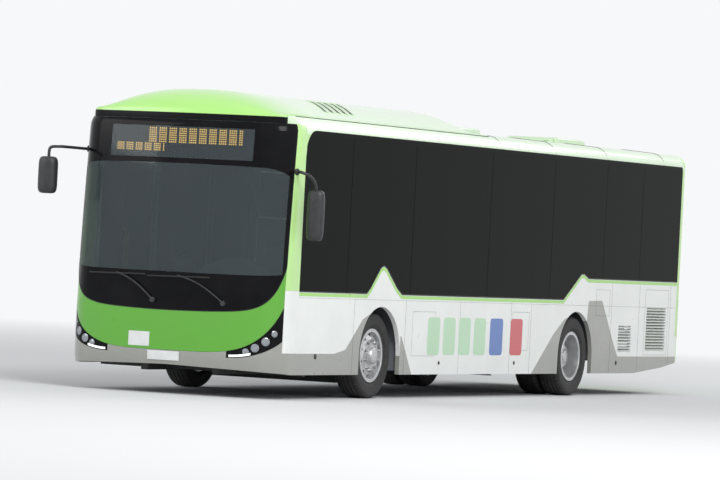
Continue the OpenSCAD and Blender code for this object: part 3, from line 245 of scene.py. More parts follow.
# The CAD nodes of each material: by their names, and for the rest by how their names start
NODE_NAMES = {
    "frame": "chassis_frame engine seat_stands front_axle knuckle_left knuckle_right rear_axle",
    "floor": "floor_low floor_rear wheel_boxes",
    "white": "side_wall_left side_wall_right side_grilles corner_panels",
    "grey": "arch_flares front_bumper",
    "tinted": "side_glass rear_window",
    "screen": "windscreen",
    "mint": "roof roof_fairing hatch_front hatch_rear",
    "light_green": "rear_wall engine_lid corner_pillars",
    "green": "front_mask",
    "red_lens": "tail_lamps",
    "gloss_black": "headlamps destination_display",
    "plastic": "mirrors steering_wheel",
    "dash": "dashboard driver_partition",
    "fabric": "driver_seat seat_cushions seat_backs",
    "yellow": "handrails",
}
NAME_STARTS = {"tyre": "tyre", "rim": "silver", "post": "steel", "leaf": "gloss_black", "pane": "tinted"}
for name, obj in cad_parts.items():
    key = next((k for k, names in NODE_NAMES.items() if name in names.split()), None)
    key = key or next(k for start, k in NAME_STARTS.items() if name.startswith(start))
    obj.data.materials.clear()
    obj.data.materials.append(MAT[key])


# ---------------------------------------------------------------- mesh helpers

class Shape:
    """Gathers the points and faces of one mesh."""

    def __init__(self):
        self.points = []
        self.faces = []

    def add(self, points, faces):
        start = len(self.points)
        self.points.extend(tuple(p) for p in points)
        self.faces.extend(tuple(start + i for i in f) for f in faces)

    def mesh(self, name):
        mesh = bpy.data.meshes.new(name)
        mesh.from_pydata(self.points, [], self.faces)
        clean(mesh)
        return mesh

    def grid(self, rings, looped=False):
        """A skin over closed rings of points, with a cap at each end unless the rings form a loop."""
        n, m = len(rings), len(rings[0])
        faces = []
        for i in range(n if looped else n - 1):
            u = (i + 1) % n
            for j in range(m):
                k = (j + 1) % m
                faces.append((i * m + j, i * m + k, u * m + k, u * m + j))
        if not looped:
            faces += [tuple(range(m - 1, -1, -1)), tuple((n - 1) * m + j for j in range(m))]
        self.add([p for r in rings for p in r], faces)

    def prism(self, outline, offset):
        """An outline of 3-D points pushed along offset."""
        n = len(outline)
        points = [Vector(p) for p in outline]
        faces = [tuple(range(n - 1, -1, -1)), tuple(range(n, 2 * n))]
        faces += [(i, (i + 1) % n, n + (i + 1) % n, n + i) for i in range(n)]
        self.add(points + [p + Vector(offset) for p in points], faces)

    def box(self, a, b):
        """A box between two opposite corners."""
        (x0, y0, z0), (x1, y1, z1) = sorted_box(a, b)
        self.prism([(x0, y0, z0), (x1, y0, z0), (x1, y1, z0), (x0, y1, z0)], (0, 0, z1 - z0))

    def turned(self, profile, centre, axis, steps):
        """A profile of (along, radius) turned about an axis through centre."""
        cx, cy, cz = centre
        rings = []
        for a in circle(steps):
            c, s = cos(a), sin(a)
            if axis == "X":
                rings.append([(cx + along, cy + r * c, cz + r * s) for along, r in profile])
            elif axis == "Y":
                rings.append([(cx + r * c, cy + along, cz + r * s) for along, r in profile])
            else:
                rings.append([(cx + r * c, cy + r * s, cz + along) for along, r in profile])
        self.grid(rings, looped=True)

    def tube(self, path, r, sides):
        """A round bar along a path of points."""
        path = [Vector(p) for p in path]
        rings = []
        last = len(path) - 1
        for i, p in enumerate(path):
            along = (path[min(i + 1, last)] - path[max(i - 1, 0)]).normalized()
            aside = along.cross(Vector((0.13, 0.31, 0.94))).normalized()
            other = along.cross(aside)
            rings.append([p + r * (cos(a) * aside + sin(a) * other) for a in circle(sides)])
        self.grid(rings)

    def bars(self, corners, r, sides):
        """Round bars between the corners of a closed frame."""
        for p, q in zip(corners, corners[1:] + corners[:1]):
            self.tube([p, q], r, sides)


def clean(mesh, weld=0.0):
    """Turns the faces outward, after points closer than weld are joined."""
    bm = bmesh.new()
    bm.from_mesh(mesh)
    if weld:
        bmesh.ops.remove_doubles(bm, verts=bm.verts, dist=weld)
    bmesh.ops.recalc_face_normals(bm, faces=bm.faces)
    bm.to_mesh(mesh)
    bm.free()
    mesh.update()


def put(shape, name, mat, body="body", bevel=0.0, angle=35.0, smooth=True):
    """Makes a piece of a shape, gives it a material and lets it ride on a body."""
    mesh = shape.mesh(name)
    obj = bpy.data.objects.new(name, mesh)
    bpy.context.scene.collection.objects.link(obj)
    mesh.materials.append(MAT[mat])
    if smooth:
        mesh.shade_smooth()
        mesh.set_sharp_from_angle(angle=radians(angle))
    if bevel:
        edge = obj.modifiers.new("edge", "BEVEL")
        edge.width = bevel
        edge.segments = 2
        edge.limit_method = "ANGLE"
        edge.angle_limit = radians(angle)
        edge.harden_normals = smooth
    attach(obj, body)
    return obj


def smooth_path(points, per):
    """Points on a Catmull-Rom curve through the given points."""
    pts = [Vector(p) for p in points]
    pts = [2 * pts[0] - pts[1]] + pts + [2 * pts[-1] - pts[-2]]
    out = []
    for a, b, c, d in zip(pts, pts[1:], pts[2:], pts[3:]):
        for t in (k / per for k in range(per)):
            out.append(0.5 * ((2 * b) + (c - a) * t + (2 * a - 5 * b + 4 * c - d) * t * t
                              + (3 * b - a - 3 * c + d) * t ** 3))
    out.append(pts[-2])
    return out


# ---------------------------------------------------------------- the curved front

# Places on the front: g is the girth from the middle along the skin, z the height
BOW_R, CORNER_R, RAKE = 4.5, 0.35, 0.12
SCREEN_Z, SCREEN_TOP_Z, MASK_Z = 0.9, 2.95, 0.47
SCREEN_GIRTH, PILLAR_S, COVE_R = 1.34, 0.61, 0.2
BOW_A = asin((HW - CORNER_R) / (BOW_R - CORNER_R))
BOW_G = BOW_R * BOW_A
CORNER_G = BOW_G + CORNER_R * (pi / 2 - BOW_A)
CORNER_S = BOW_R * (1 - cos(BOW_A)) + CORNER_R * cos(BOW_A)
PILLAR_G = CORNER_G + PILLAR_S - CORNER_S
LAMP_G = 16 * SCREEN_GIRTH / 30
SEAM = 0.0008                       # the gap between two panels
PRINT_OUT, PRINT_THICK = 0.0012, 0.001


def turn(g):
    """How far the skin has turned from facing ahead."""
    if g <= BOW_G:
        return g / BOW_R
    return BOW_A + (g - BOW_G) / CORNER_R if g <= CORNER_G else pi / 2


def plan(g):
    """The skin's plan: x, and y behind the foremost point."""
    a = turn(g)
    if g <= BOW_G:
        return BOW_R * sin(a), BOW_R * (1 - cos(a))
    return (BOW_R * sin(BOW_A) + CORNER_R * (sin(a) - sin(BOW_A)),
            BOW_R * (1 - cos(BOW_A)) + CORNER_R * (cos(BOW_A) - cos(a)) + max(0.0, g - CORNER_G))


def lean(z):
    return (RAKE * (max(0.0, z - SCREEN_Z) / (SCREEN_TOP_Z - SCREEN_Z)) ** 1.4
            + 0.03 * (max(0.0, MASK_Z - z) / (MASK_Z - SKIRT_Z)) ** 2)


def fade(g):
    """How much of the lean is left: all of it up to the windscreen's edge, none at the side wall."""
    return 1.0 if g <= SCREEN_GIRTH else max(0.0, (PILLAR_G - g) / (PILLAR_G - SCREEN_GIRTH))


def curl(z):
    return 0.0 if z <= GLAZING_TOP_Z else COVE_R - sqrt(COVE_R ** 2 - (z - GLAZING_TOP_Z) ** 2)


def skin(g, z, out=0.0):
    """A point of the front at girth g and height z, out metres outside its skin."""
    (x, y), a, d = plan(abs(g)), turn(abs(g)), -out + curl(z)
    px = x - d * sin(a)
    py = FRONT_Y + y + lean(z) * fade(abs(g)) + d * cos(a)
    return Vector((-px if g < 0 else px, py, z))


def screen_low(g):
    q = abs(g) / SCREEN_GIRTH
    return SCREEN_Z + 0.51 * (0.12 * q * q + 0.88 * q ** 9)


def mask_low(g):
    return MASK_Z + 0.52 * (abs(g) / SCREEN_GIRTH) ** 4.8


def lamp_low(g):
    return MASK_Z - 0.045 + 0.2 * (max(0.0, abs(g) - LAMP_G) / (SCREEN_GIRTH - LAMP_G)) ** 2.2


def bumper_low(g):
    return SKIRT_Z + 0.05 * max(0.0, 1 - abs(g) / CORNER_G) ** 0.7


def header_low(g):
    q = max(0.0, abs(g) - 1.0) / (SCREEN_GIRTH - 1.0)
    return 2.475 - 0.02 * (abs(g) / SCREEN_GIRTH) ** 2 - 0.1 * q * q


def foot_top(g):
    return max(screen_low(g) + 0.02, 1.31 + 0.03 * (abs(g) / SCREEN_GIRTH) ** 6)


def on_side(girths, sign):
    """The girths on one side of the front, in rising order."""
    return girths if sign > 0 else [-g for g in reversed(girths)]


def front_sheet(shape, girths, low, high, rows, out, thick, gap=0.0):
    """A closed curved sheet with its outer face out metres off the skin; low and high are heights or
    functions of the girth, and gap is left free at both."""
    rings = []
    for g in girths:
        a, b = (limit(g) if callable(limit) else limit for limit in (low, high))
        zs = span(a + gap, b - gap, rows)
        rings.append([skin(g, z, out) for z in zs] + [skin(g, z, out - thick) for z in reversed(zs)])
    shape.grid(rings)


def panel(shape, girths, low, high, rows, thick):
    front_sheet(shape, girths, low, high, rows, 0.0, thick, SEAM / 2)


def black_print(shape, girths, low, high, rows):
    front_sheet(shape, girths, low, high, rows, PRINT_OUT, PRINT_THICK)


def disc(shape, g, z, out, rings, n):
    """Rings of (distance, radius) that stand on the front round one of its points."""
    middle = skin(g, z, out)
    a = turn(abs(g))
    normal = Vector((copysign(sin(a), g), -cos(a), 0))
    aside = UP.cross(normal)
    shape.grid([[middle + normal * d + r * (cos(t) * aside + sin(t) * UP) for t in circle(n)]
                for d, r in rings])


def build_front():
    fine = span(-SCREEN_GIRTH, SCREEN_GIRTH, 120)
    s = Shape()
    panel(s, fine, screen_low, SCREEN_TOP_Z, 30, 0.008)
    glass = put(s, "windscreen_glass", "screen", bevel=0.001)
    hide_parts("windscreen")
    s = Shape()
    panel(s, fine, mask_low, screen_low, 12, 0.03)
    mask = put(s, "front_mask_shell", "green", bevel=0.004)
    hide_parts("front_mask")

    # black print round the windscreen: a header with an opening for the display, the foot and the sides
    opening_g, opening_low, opening_top = SCREEN_GIRTH - 0.48, 2.53, 2.87
    s = Shape()
    black_print(s, fine, header_low, opening_low, 4)
    black_print(s, fine, opening_top, SCREEN_TOP_Z - 0.004, 4)
    for sign in (-1, 1):
        black_print(s, on_side(span(opening_g, SCREEN_GIRTH, 20), sign), opening_low, opening_top, 6)
    put(s, "screen_print_header", "gloss_black")
    s = Shape()
    black_print(s, fine, lambda g: screen_low(g) + 0.004, foot_top, 6)
    put(s, "screen_print_foot", "gloss_black")
    s = Shape()
    for sign in (-1, 1):
        black_print(s, on_side(span(SCREEN_GIRTH - 0.055, SCREEN_GIRTH - 0.003, 4), sign), foot_top, header_low, 24)
    put(s, "screen_print_sides", "gloss_black")

    # a dark seal between the windscreen and the panels round it
    s = Shape()
    for sign in (-1, 1):
        s.tube([skin(sign * (SCREEN_GIRTH + 0.0005), z) for z in span(1.42, 2.93, 30)], 0.004, 8)
    s.tube([skin(g, screen_low(g)) for g in fine], 0.004, 8)
    put(s, "screen_seal", "rubber")

    # corner pillars, corner panels and bumper with smooth skins
    behind = span(CORNER_G, PILLAR_G - 0.0004, 3)[1:]
    pillars, panels = Shape(), Shape()
    for sign in (-1, 1):
        panel(pillars, on_side(span(SCREEN_GIRTH + 0.0004, CORNER_G, 14) + behind, sign),
              BELT_Z, SCREEN_TOP_Z, 26, 0.05)
        panel(panels, on_side(span(SCREEN_GIRTH + 0.0014, CORNER_G, 14) + behind, sign), BAND_Z, BELT_Z, 8, 0.05)
    o = put(pillars, "corner_pillar_shells", "light_green", bevel=0.0015)
    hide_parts("corner_pillars")
    o = put(panels, "corner_panel_shells", "white", bevel=0.0015)
    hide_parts("corner_panels")

    jump = 0.001                    # girth over which the bumper's upper edge steps at a lamp's end

    def bumper_top(g):
        if abs(g) < LAMP_G + jump:
            return mask_low(g)
        return lamp_low(g) if abs(g) < SCREEN_GIRTH + jump else BAND_Z

    half = (span(0, LAMP_G, 40) + [LAMP_G + jump] + span(LAMP_G, SCREEN_GIRTH, 40)[1:]
            + [SCREEN_GIRTH + jump] + span(SCREEN_GIRTH + jump, PILLAR_G - 0.0004, 14)[1:])
    s = Shape()
    panel(s, [-g for g in half[:0:-1]] + half, bumper_low, bumper_top, 8, 0.03)
    o = put(s, "front_bumper_shell", "grey", bevel=0.003)
    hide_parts("front_bumper")

    # headlamps: a black strip, round lamps in it, and a white day light along its lower edge
    strips, lights, lenses = Shape(), Shape(), Shape()
    for sign in (-1, 1):
        panel(strips, on_side(span(LAMP_G + 0.0014, SCREEN_GIRTH, 44), sign), lamp_low, mask_low, 6, 0.03)
        front_sheet(lights, on_side(span(LAMP_G + 0.03, LAMP_G + 0.27, 18), sign), lambda g: lamp_low(g) + 0.01,
                    lambda g: lamp_low(g) + 0.034, 2, 0.004, 0.006)
        for g, lift, r in ((0.93, 0.055, 0.036), (1.03, 0.075, 0.045), (1.14, 0.105, 0.045), (1.235, 0.145, 0.035)):
            disc(lenses, sign * g, lamp_low(g) + lift, 0.0, [(d, k * r) for d, k in (
                (-0.004, 1.0), (0.002, 1.0), (0.004, 0.86), (0.001, 0.8), (0.004, 0.55), (0.005, 0.15))], 28)
    o = put(strips, "headlamp_strips", "gloss_black", bevel=0.002)
    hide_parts("headlamps")
    put(lights, "day_lights", "lamp_white", bevel=0.001)
    put(lenses, "headlamp_lenses", "lens_clear", angle=50)

    # wipers: two arms from the foot of the windscreen, each with a blade
    arms, blades = Shape(), Shape()
    for root_g, tip_g, root_z, tip_z in ((0.66, 0.12, 1.00, 1.272), (-0.16, -0.64, 1.00, 1.275)):
        arms.tube([skin(root_g + (tip_g - root_g) * t, root_z + (tip_z - root_z) * t + 0.05 * sin(pi * t),
                        0.02 + 0.018 * sin(pi * t)) for t in span(0, 1, 24)], 0.0085, 8)
        arms.turned([(-0.02, AXIS), (-0.02, 0.028), (0.018, 0.028), (0.03, 0.018), (0.032, AXIS)],
                    skin(root_g, root_z, 0.016), "Y", 20)
        blade = [skin(tip_g + 0.37 * t, tip_z - 0.012 + 0.006 * t, 0.011) for t in span(-1.0, 1.0, 24)]
        blades.tube(blade, 0.009, 6)
    put(arms, "wiper_arms", "plastic")
    put(blades, "wiper_blades", "rubber")

    # the blank number plate and a blank white board on the mask
    s = Shape()
    front_sheet(s, span(-0.2, 0.18, 12), 0.36, 0.46, 2, 0.01, 0.008)
    put(s, "number_plate_blank", "plate_white", bevel=0.003)
    s = Shape()
    front_sheet(s, span(-0.445, -0.185, 6), 0.5, 0.655, 2, 0.004, 0.0038)
    put(s, "mask_board_blank", "plate_white", bevel=0.001)


def build_display():
    """Plain blocks of amber dots where the photograph's display shows its text."""
    s = Shape()
    face_y = st(0.235)
    for x0, x1, z0, rows, pitch in ((-0.42, 0.72, 2.7, 7, 0.024), (-0.8, -0.22, 2.608, 4, 0.022)):
        r = pitch * 0.38
        for i in range(int((x1 - x0) / pitch)):
            if i % 5 == 4:
                continue
            for k in range(rows):
                x, z = x0 + i * pitch, z0 + k * pitch
                s.prism([(x + r * cos(t), face_y - 0.0005, z + r * sin(t)) for t in circle(8)],
                        (0, -0.0025, 0))
    put(s, "display_dots", "amber_glow", smooth=False)
    s = Shape()
    for low, high in ((2.515, 2.535), (2.87, 2.885)):
        s.box((-0.83, face_y - 0.006, low), (0.83, face_y - 0.0008, high))
    put(s, "display_frame_strips", "plastic", bevel=0.002)


# ---------------------------------------------------------------- wheels

NUT_R, HUB_NUT_R = 0.1675, 0.084    # radii of the circles that the nuts stand on


def tyre_profile():
    """(along, radius) from the outer bead over the tread with its grooves to the inner bead."""
    side = [(0.1, 0.2862), (0.1, 0.303), (0.108, 0.314), (0.121, 0.33), (0.1275, 0.342), (0.13, 0.3445),
            (0.1335, 0.362), (0.1358, 0.385), (0.1372, 0.405), (0.1362, 0.407), (0.1362, 0.413), (0.137, 0.415),
            (0.135, 0.436), (0.13, 0.452), (0.1225, 0.464), (0.112, 0.4715), (0.1, 0.475)]
    tread = []
    for middle in (0.072, 0.026, -0.026, -0.072):
        crown = 0.4778 - 0.3 * middle * middle
        tread += [(middle + dx, crown + r) for dx, r in (
            (0.0055, 0.0), (0.0045, -0.011), (-0.0045, -0.011), (-0.0055, 0.0))]
    return side + tread + [(-x, r) for x, r in reversed(side)]


def tyre_shape(shape, x, y):
    """A tyre whose shoulders are notched once a pitch and whose profile is twisted into the tread's slant."""
    profile, pitches = tyre_profile(), 56
    rings = []
    for i in range(pitches):
        for part, cut in ((0.0, 0), (0.7, 0), (0.74, 1), (0.96, 1)):
            a = 2 * pi * (i + part) / pitches
            ring = []
            for along, r in profile:
                if cut and abs(along) > 0.09 and r > 0.448:
                    r -= 0.0085
                twist = a + along * 0.35
                ring.append((x + along, y + r * cos(twist), TYRE_R + r * sin(twist)))
            rings.append(ring)
    shape.grid(rings, looped=True)


def nut_ring(shape, count, first, x, y, at, r, length, side):
    """Hexagonal nuts with round ends on a circle of radius at."""
    end = [(side * length, AXIS), (side * length, r * 0.55), (side * (length + 0.012), r * 0.5),
           (side * (length + 0.014), AXIS)]
    for k in range(count):
        a = radians(first + 360 / count * k)
        cy, cz = y + at * cos(a), TYRE_R + at * sin(a)
        shape.prism([(x, cy + r * cos(t), cz + r * sin(t)) for t in circle(6)], (side * length, 0, 0))
        shape.turned(end, (x, cy, cz), "X", 12)


def build_wheels():
    front_cap = ((0.0, AXIS), (0.0, 0.112), (0.01, 0.11), (0.014, 0.096), (0.046, 0.088), (0.056, 0.078),
                 (0.06, 0.05), (0.06, AXIS))
    rear_cap = ((0.0, AXIS), (0.0, 0.118), (0.008, 0.116), (0.012, 0.104), (0.012, 0.064), (0.02, 0.06),
                (0.024, 0.048), (0.024, AXIS))
    for side, word in SIDES:
        for where, y, tracks in (("front", FRONT_AXLE_Y, (FRONT_TRACK,)),
                                 ("rear", REAR_AXLE_Y, (REAR_TRACK, REAR_TRACK - TWIN_GAP))):
            front = where == "front"
            body = f"wheel_front_{word}" if front else f"wheels_rear_{word}"
            node = f"tyre_front_{word}" if front else f"tyres_rear_{word}"
            s = Shape()
            for t in tracks:
                tyre_shape(s, side * t, y)
            o = put(s, f"{where}_tyre_tread_{word}", "tyre", body, angle=28)
            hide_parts(node)

            nuts, caps = Shape(), Shape()
            face = side * (FRONT_TRACK + 0.107 if front else REAR_TRACK - 0.141)
            nut_ring(nuts, 10, 18, face, y, NUT_R, 0.0195, 0.026, side)
            nuts.turned([(0.0, 0.15), (side * 0.004, 0.15), (side * 0.004, 0.186), (0.0, 0.186)],
                        (face, y, TYRE_R), "X", 64)
            end = face - side * 0.002 if front else side * (REAR_TRACK + 0.022)
            caps.turned([(side * a, r) for a, r in (front_cap if front else rear_cap)], (end, y, TYRE_R), "X", 56)
            if not front:
                nut_ring(nuts, 12, 0, end + side * 0.01, y, HUB_NUT_R, 0.01, 0.01, side)
            # a rounded lip on the rim's outer edge and a valve
            lip_r = 0.004
            caps.turned([(lip_r * cos(t), 0.297 + lip_r * sin(t)) for t in circle(8)],
                        (side * (tracks[0] + 0.112), y, TYRE_R), "X", 96)
            valve = face + side * (-0.02 if front else 0.05)
            caps.tube([(valve, y + 0.03, TYRE_R + 0.245), (valve + side * 0.05, y + 0.03, TYRE_R + 0.235)],
                      0.005, 8)
            put(nuts, f"{where}_wheel_nuts_{word}", "steel", body, bevel=0.0015)
            put(caps, f"{where}_wheel_caps_{word}", "silver", body, angle=40)


# ---------------------------------------------------------------- side panels and trim

HEAD_Z = GLAZING_TOP_Z + 0.047      # where the photograph shows the glazing's upper edge
HEAD_ARC = 0.235                    # radius of the glazing's upper front corner


def glazing_foot():
    """Points along the lower edge of the side glazing, from front to rear."""
    f, r = FRONT_AXLE_Y, REAR_AXLE_Y
    return [(st(PILLAR_S), BELT_Z), (f - 0.42, BELT_Z), (f - 0.33, BELT_Z + 0.06),
            (f - 0.08, BELT_Z + 0.285), (f, BELT_Z + 0.315), (f + 0.09, BELT_Z + 0.285),
            (f + 0.39, BELT_Z + 0.07), (f + 0.53, BELT_Z), (r - 0.45, BELT_Z), (r - 0.35, BELT_Z + 0.06),
            (r + 0.09, BELT_Z + 0.315), (r + 0.19, BELT_Z + 0.315), (r + 0.33, REAR_BELT_Z),
            (REAR_Y - 0.18, REAR_BELT_Z)]


def belt_at(y):
    """The height of the glazing's lower edge."""
    foot = glazing_foot()
    for (ya, za), (yb, zb) in zip(foot, foot[1:]):
        if ya <= y <= yb:
            return za + (zb - za) * (y - ya) / (yb - ya)
    return foot[-1][1] if y > foot[-1][0] else foot[0][1]


def offset_path(path, d):
    """An open path in a plane moved sideways by d."""
    path = [Vector(p) for p in path]
    ways = [(b - a).normalized() for a, b in zip(path, path[1:])]
    out = []
    for p, before, after in zip(path, ways[:1] + ways, ways + ways[-1:]):
        n0, n1 = Vector((-before.y, before.x)), Vector((-after.y, after.x))
        m = (n0 + n1).normalized()
        out.append(p + m * (d / max(0.35, m.dot(n0))))
    return out


def strip(shape, path, low, high, x, thick, side):
    """A flat strip on the side wall between two offsets from a path of (y, z)."""
    shape.grid([[(side * x, p.x, p.y), (side * x, q.x, q.y), (side * (x + thick), q.x, q.y),
                 (side * (x + thick), p.x, p.y)] for p, q in zip(offset_path(path, low), offset_path(path, high))])


def right_spans(start, end, margin):
    """The stations from start to end that the doorways leave on the right side."""
    out, at = [], start
    for a, b in DOORWAYS:
        if at < a - margin < end:
            out.append((at, a - margin))
        at = max(at, b + margin)
    if at < end:
        out.append((at, end))
    return out


def clip_path(path, y0, y1):
    """The part of a path of (y, z) between two y."""
    out = []
    for (ya, za), (yb, zb) in zip(path, path[1:]):
        low, high = max(ya, y0), min(yb, y1)
        if high - low < 1e-6:
            continue
        ends = [(y, za + (zb - za) * (y - ya) / (yb - ya)) for y in (low, high)]
        out += ends[1:] if out else ends
    return out


def head_x(z):
    """How far out the side of the body lies at a height near the glazing's upper edge."""
    return HW - COVE_R + sqrt(COVE_R ** 2 - max(0.0, z - GLAZING_TOP_Z) ** 2)


def build_side(side, word):
    left = side > 0
    wall = side * (HW + 0.0002)     # the x of what lies on the side wall
    foot = glazing_foot()
    stripes, seals, lines = Shape(), Shape(), Shape()
    for a, b in [(PILLAR_S, GLAZING_END)] if left else right_spans(PILLAR_S, GLAZING_END, 0.002):
        path = clip_path(foot, st(a), st(b))
        if len(path) < 2:
            continue
        strip(stripes, path, -0.052, -0.016, HW + 0.0002, 0.001, side)
        strip(seals, path, -0.01, 0.004, HW + 0.0001, 0.0022, side)
    put(stripes, f"belt_stripe_{word}", "stripe")

    # the upper edge of the glazing lies over the foot of the roof's cove
    heads = Shape()
    corner_y, corner_z = st(PILLAR_S) + HEAD_ARC, HEAD_Z - HEAD_ARC
    for a, b in ((PILLAR_S, GLAZING_END),) if left else ((2.042, 4.558), (5.982, GLAZING_END)):
        rings = []
        ys = span(st(a), st(b), 24)
        if left:
            ys = span(corner_y - 0.226, corner_y, 24) + span(corner_y, st(b), 30)[1:]
        for y in ys:
            high = corner_z + sqrt(HEAD_ARC ** 2 - max(0.0, corner_y - y) ** 2) if left else HEAD_Z
            zs = span(high - 0.09 if left and y <= corner_y + 0.1 else GLAZING_TOP_Z - 0.012, high, 5)
            rings.append([(side * (head_x(z) + 0.0018), y, z) for z in zs]
                         + [(side * (head_x(z) + 0.0002), y, z) for z in reversed(zs)])
        heads.grid(rings)
    put(heads, f"glazing_head_{word}", "tinted")
    seals.box((side * HW, st(11.812), REAR_BELT_Z), (side * (HW + 0.002), st(11.824), GLAZING_TOP_Z))
    put(seals, f"glazing_seal_{word}", "rubber")

    # green corners before and behind the glazing
    s = Shape()
    if left:
        y0, top = st(PILLAR_S) + 0.001, GLAZING_TOP_Z + 0.004
        first = 180 - degrees(asin((top - corner_z) / HEAD_ARC))
        outline = [(y0, top)] + [(corner_y + HEAD_ARC * cos(a), corner_z + HEAD_ARC * sin(a))
                                 for a in map(radians, span(first, 180.0, 10))]
        s.prism([(wall, y, z) for y, z in outline], (side * 0.001, 0, 0))
    s.box((wall, st(11.828), 0.74), (wall + side * 0.001, st(11.878), GLAZING_TOP_Z + 0.01))
    put(s, f"rear_edge_stripe_{word}", "light_green")

    # shut lines between the skirt panels, and round the flaps
    def groove(s0, z0, s1, z1, half=0.0013, depth=0.0006):
        strip(lines, [(st(s0), z0), (st(s1), z1)], -half, half, HW + 0.0001, depth, side)

    for s0 in (2.04, 3.42, 4.95, 6.45, 7.06, 9.62, 10.55, 11.62) if left else (
            2.1, 3.42, 4.5, 6.05, 7.06, 9.62, 10.55, 11.62):
        tail_rise = max(0.0, s0 - 10.44) * 0.1
        groove(s0, SKIRT_Z + 0.004 + tail_rise, s0 + 0.0001, belt_at(st(s0)) - 0.06, 0.0016)
    for s0, s1, z0, z1 in ((3.62, 4.25, 0.48, 0.98), (6.5, 7.0, 0.55, 1.0), (9.1, 9.55, 0.98, 1.3),
                           (10.75, 11.55, 0.5, 1.32)):
        for z in (z0, z1):
            groove(s0, z, s1, z)
        for station in (s0, s1):
            groove(station, z0, station + 0.0001, z1)
    groove(PILLAR_S if left else 2.0, 1.1, GLAZING_END if left else 4.6, 1.1, 0.001, 0.0005)
    put(lines, f"panel_lines_{word}", "rubber")

    # round markers and small side lamps
    marks = Shape()
    for s0, z0, r in ((1.09, 0.47, 0.03), (9.85, 0.4, 0.026), (4.4, 0.4, 0.022), (6.6, 0.4, 0.022)):
        if left or not any(a < s0 < b for a, b in DOORWAYS):
            marks.turned([(0.0, AXIS), (0.0, r), (side * 0.004, r), (side * 0.007, r * 0.8), (side * 0.008, AXIS)],
                         (wall, st(s0), z0), "X", 24)
    put(marks, f"side_markers_{word}", "plastic" if left else "amber_lens")


def build_blocks():
    """Plain coloured shapes where the photograph has side lettering: no words."""
    low, high, r = 0.49, 0.92, 0.05
    for key, blocks in (("pale_green", [(4.05 + 0.44 * i, 0.34) for i in range(4)]), ("plain_blue", [(5.84, 0.38)]),
                        ("plain_red", [(6.45, 0.36)])):
        s = Shape()
        for s0, width in blocks:
            s.prism([(HW + 0.0003, st(s0) + width / 2 + y, (low + high) / 2 + z)
                     for y, z in rounded(width / 2, (high - low) / 2, r)], (0.0008, 0, 0))
        put(s, f"side_block_{key}", key)


# ---------------------------------------------------------------- roof fairing and hatches

COVE_X = HW - COVE_R
FLAT_HW = 0.65 * COVE_X
FAIR_HW = COVE_X + COVE_R * sin(radians(22.5))
FOOT_L, NOSE_L, FAIR_END, FAIR_SLOPE = 0.03, 0.52, 5.8, 0.56
FAIR_RISE, CROWN_HW = 0.215, 1.06


def roof_line(x):
    """The height of the roof's outside."""
    if x <= FLAT_HW:
        return ROOF_Z
    if x <= COVE_X:
        return ROOF_Z - 0.03 * (x - FLAT_HW) / (COVE_X - FLAT_HW)
    return GLAZING_TOP_Z + sqrt(max(0.0, COVE_R ** 2 - (x - COVE_X) ** 2))


def nose_y(x):
    """The y of the front's upper edge."""
    side = BOW_R * sin(BOW_A)
    if x <= side:
        g = BOW_R * asin(x / BOW_R)
    else:
        g = BOW_G + CORNER_R * (asin(min(1.0, (x - side) / CORNER_R + sin(BOW_A))) - BOW_A)
    return FRONT_Y + plan(g)[1] + lean(SCREEN_TOP_Z) * fade(g) + curl(SCREEN_TOP_Z)


def fair_top(x):
    edge = roof_line(FAIR_HW) + 0.025
    return edge + (ROOF_Z + FAIR_RISE - edge) * (1 - min(1.0, abs(x) / CROWN_HW) ** 2.7)


def fair_ring(x):
    """The fairing's outline at one x: nose, long top, slope at the rear, and back along the roof."""
    ax = abs(x)
    y0, low, top, base = nose_y(ax), SCREEN_TOP_Z + 0.0004, fair_top(ax), roof_line(ax)
    y1, lip = st(FAIR_END), low + 0.012
    # the nose stays ahead of the roof's front edge, which sits FOOT_L behind its foot
    edge = asin(min(0.99, max(0.02, (base + 0.004 - lip) / (top - lip))))
    power = max(1.0, log((FOOT_L - 0.004) / NOSE_L) / log(1 - cos(edge)))
    ring = [(x, y0 + NOSE_L * (1 - cos(a)) ** power, lip + (top - lip) * sin(a))
            for a in span(0.0, 0.5 * pi, 18)]
    end = y1 - FAIR_SLOPE
    ring += [(x, y, top) for y in span(y0 + NOSE_L, end, 8)[1:-1]]
    ring += [(x, end + FAIR_SLOPE * q, base + 0.006 + (top - base - 0.006) * (0.5 + 0.5 * cos(pi * q)))
             for q in span(0.0, 1.0, 18)]
    return ring + [(x, y1, base), (x, y0 + FOOT_L, base), (x, y0 + FOOT_L, low), (x, y0, low)]


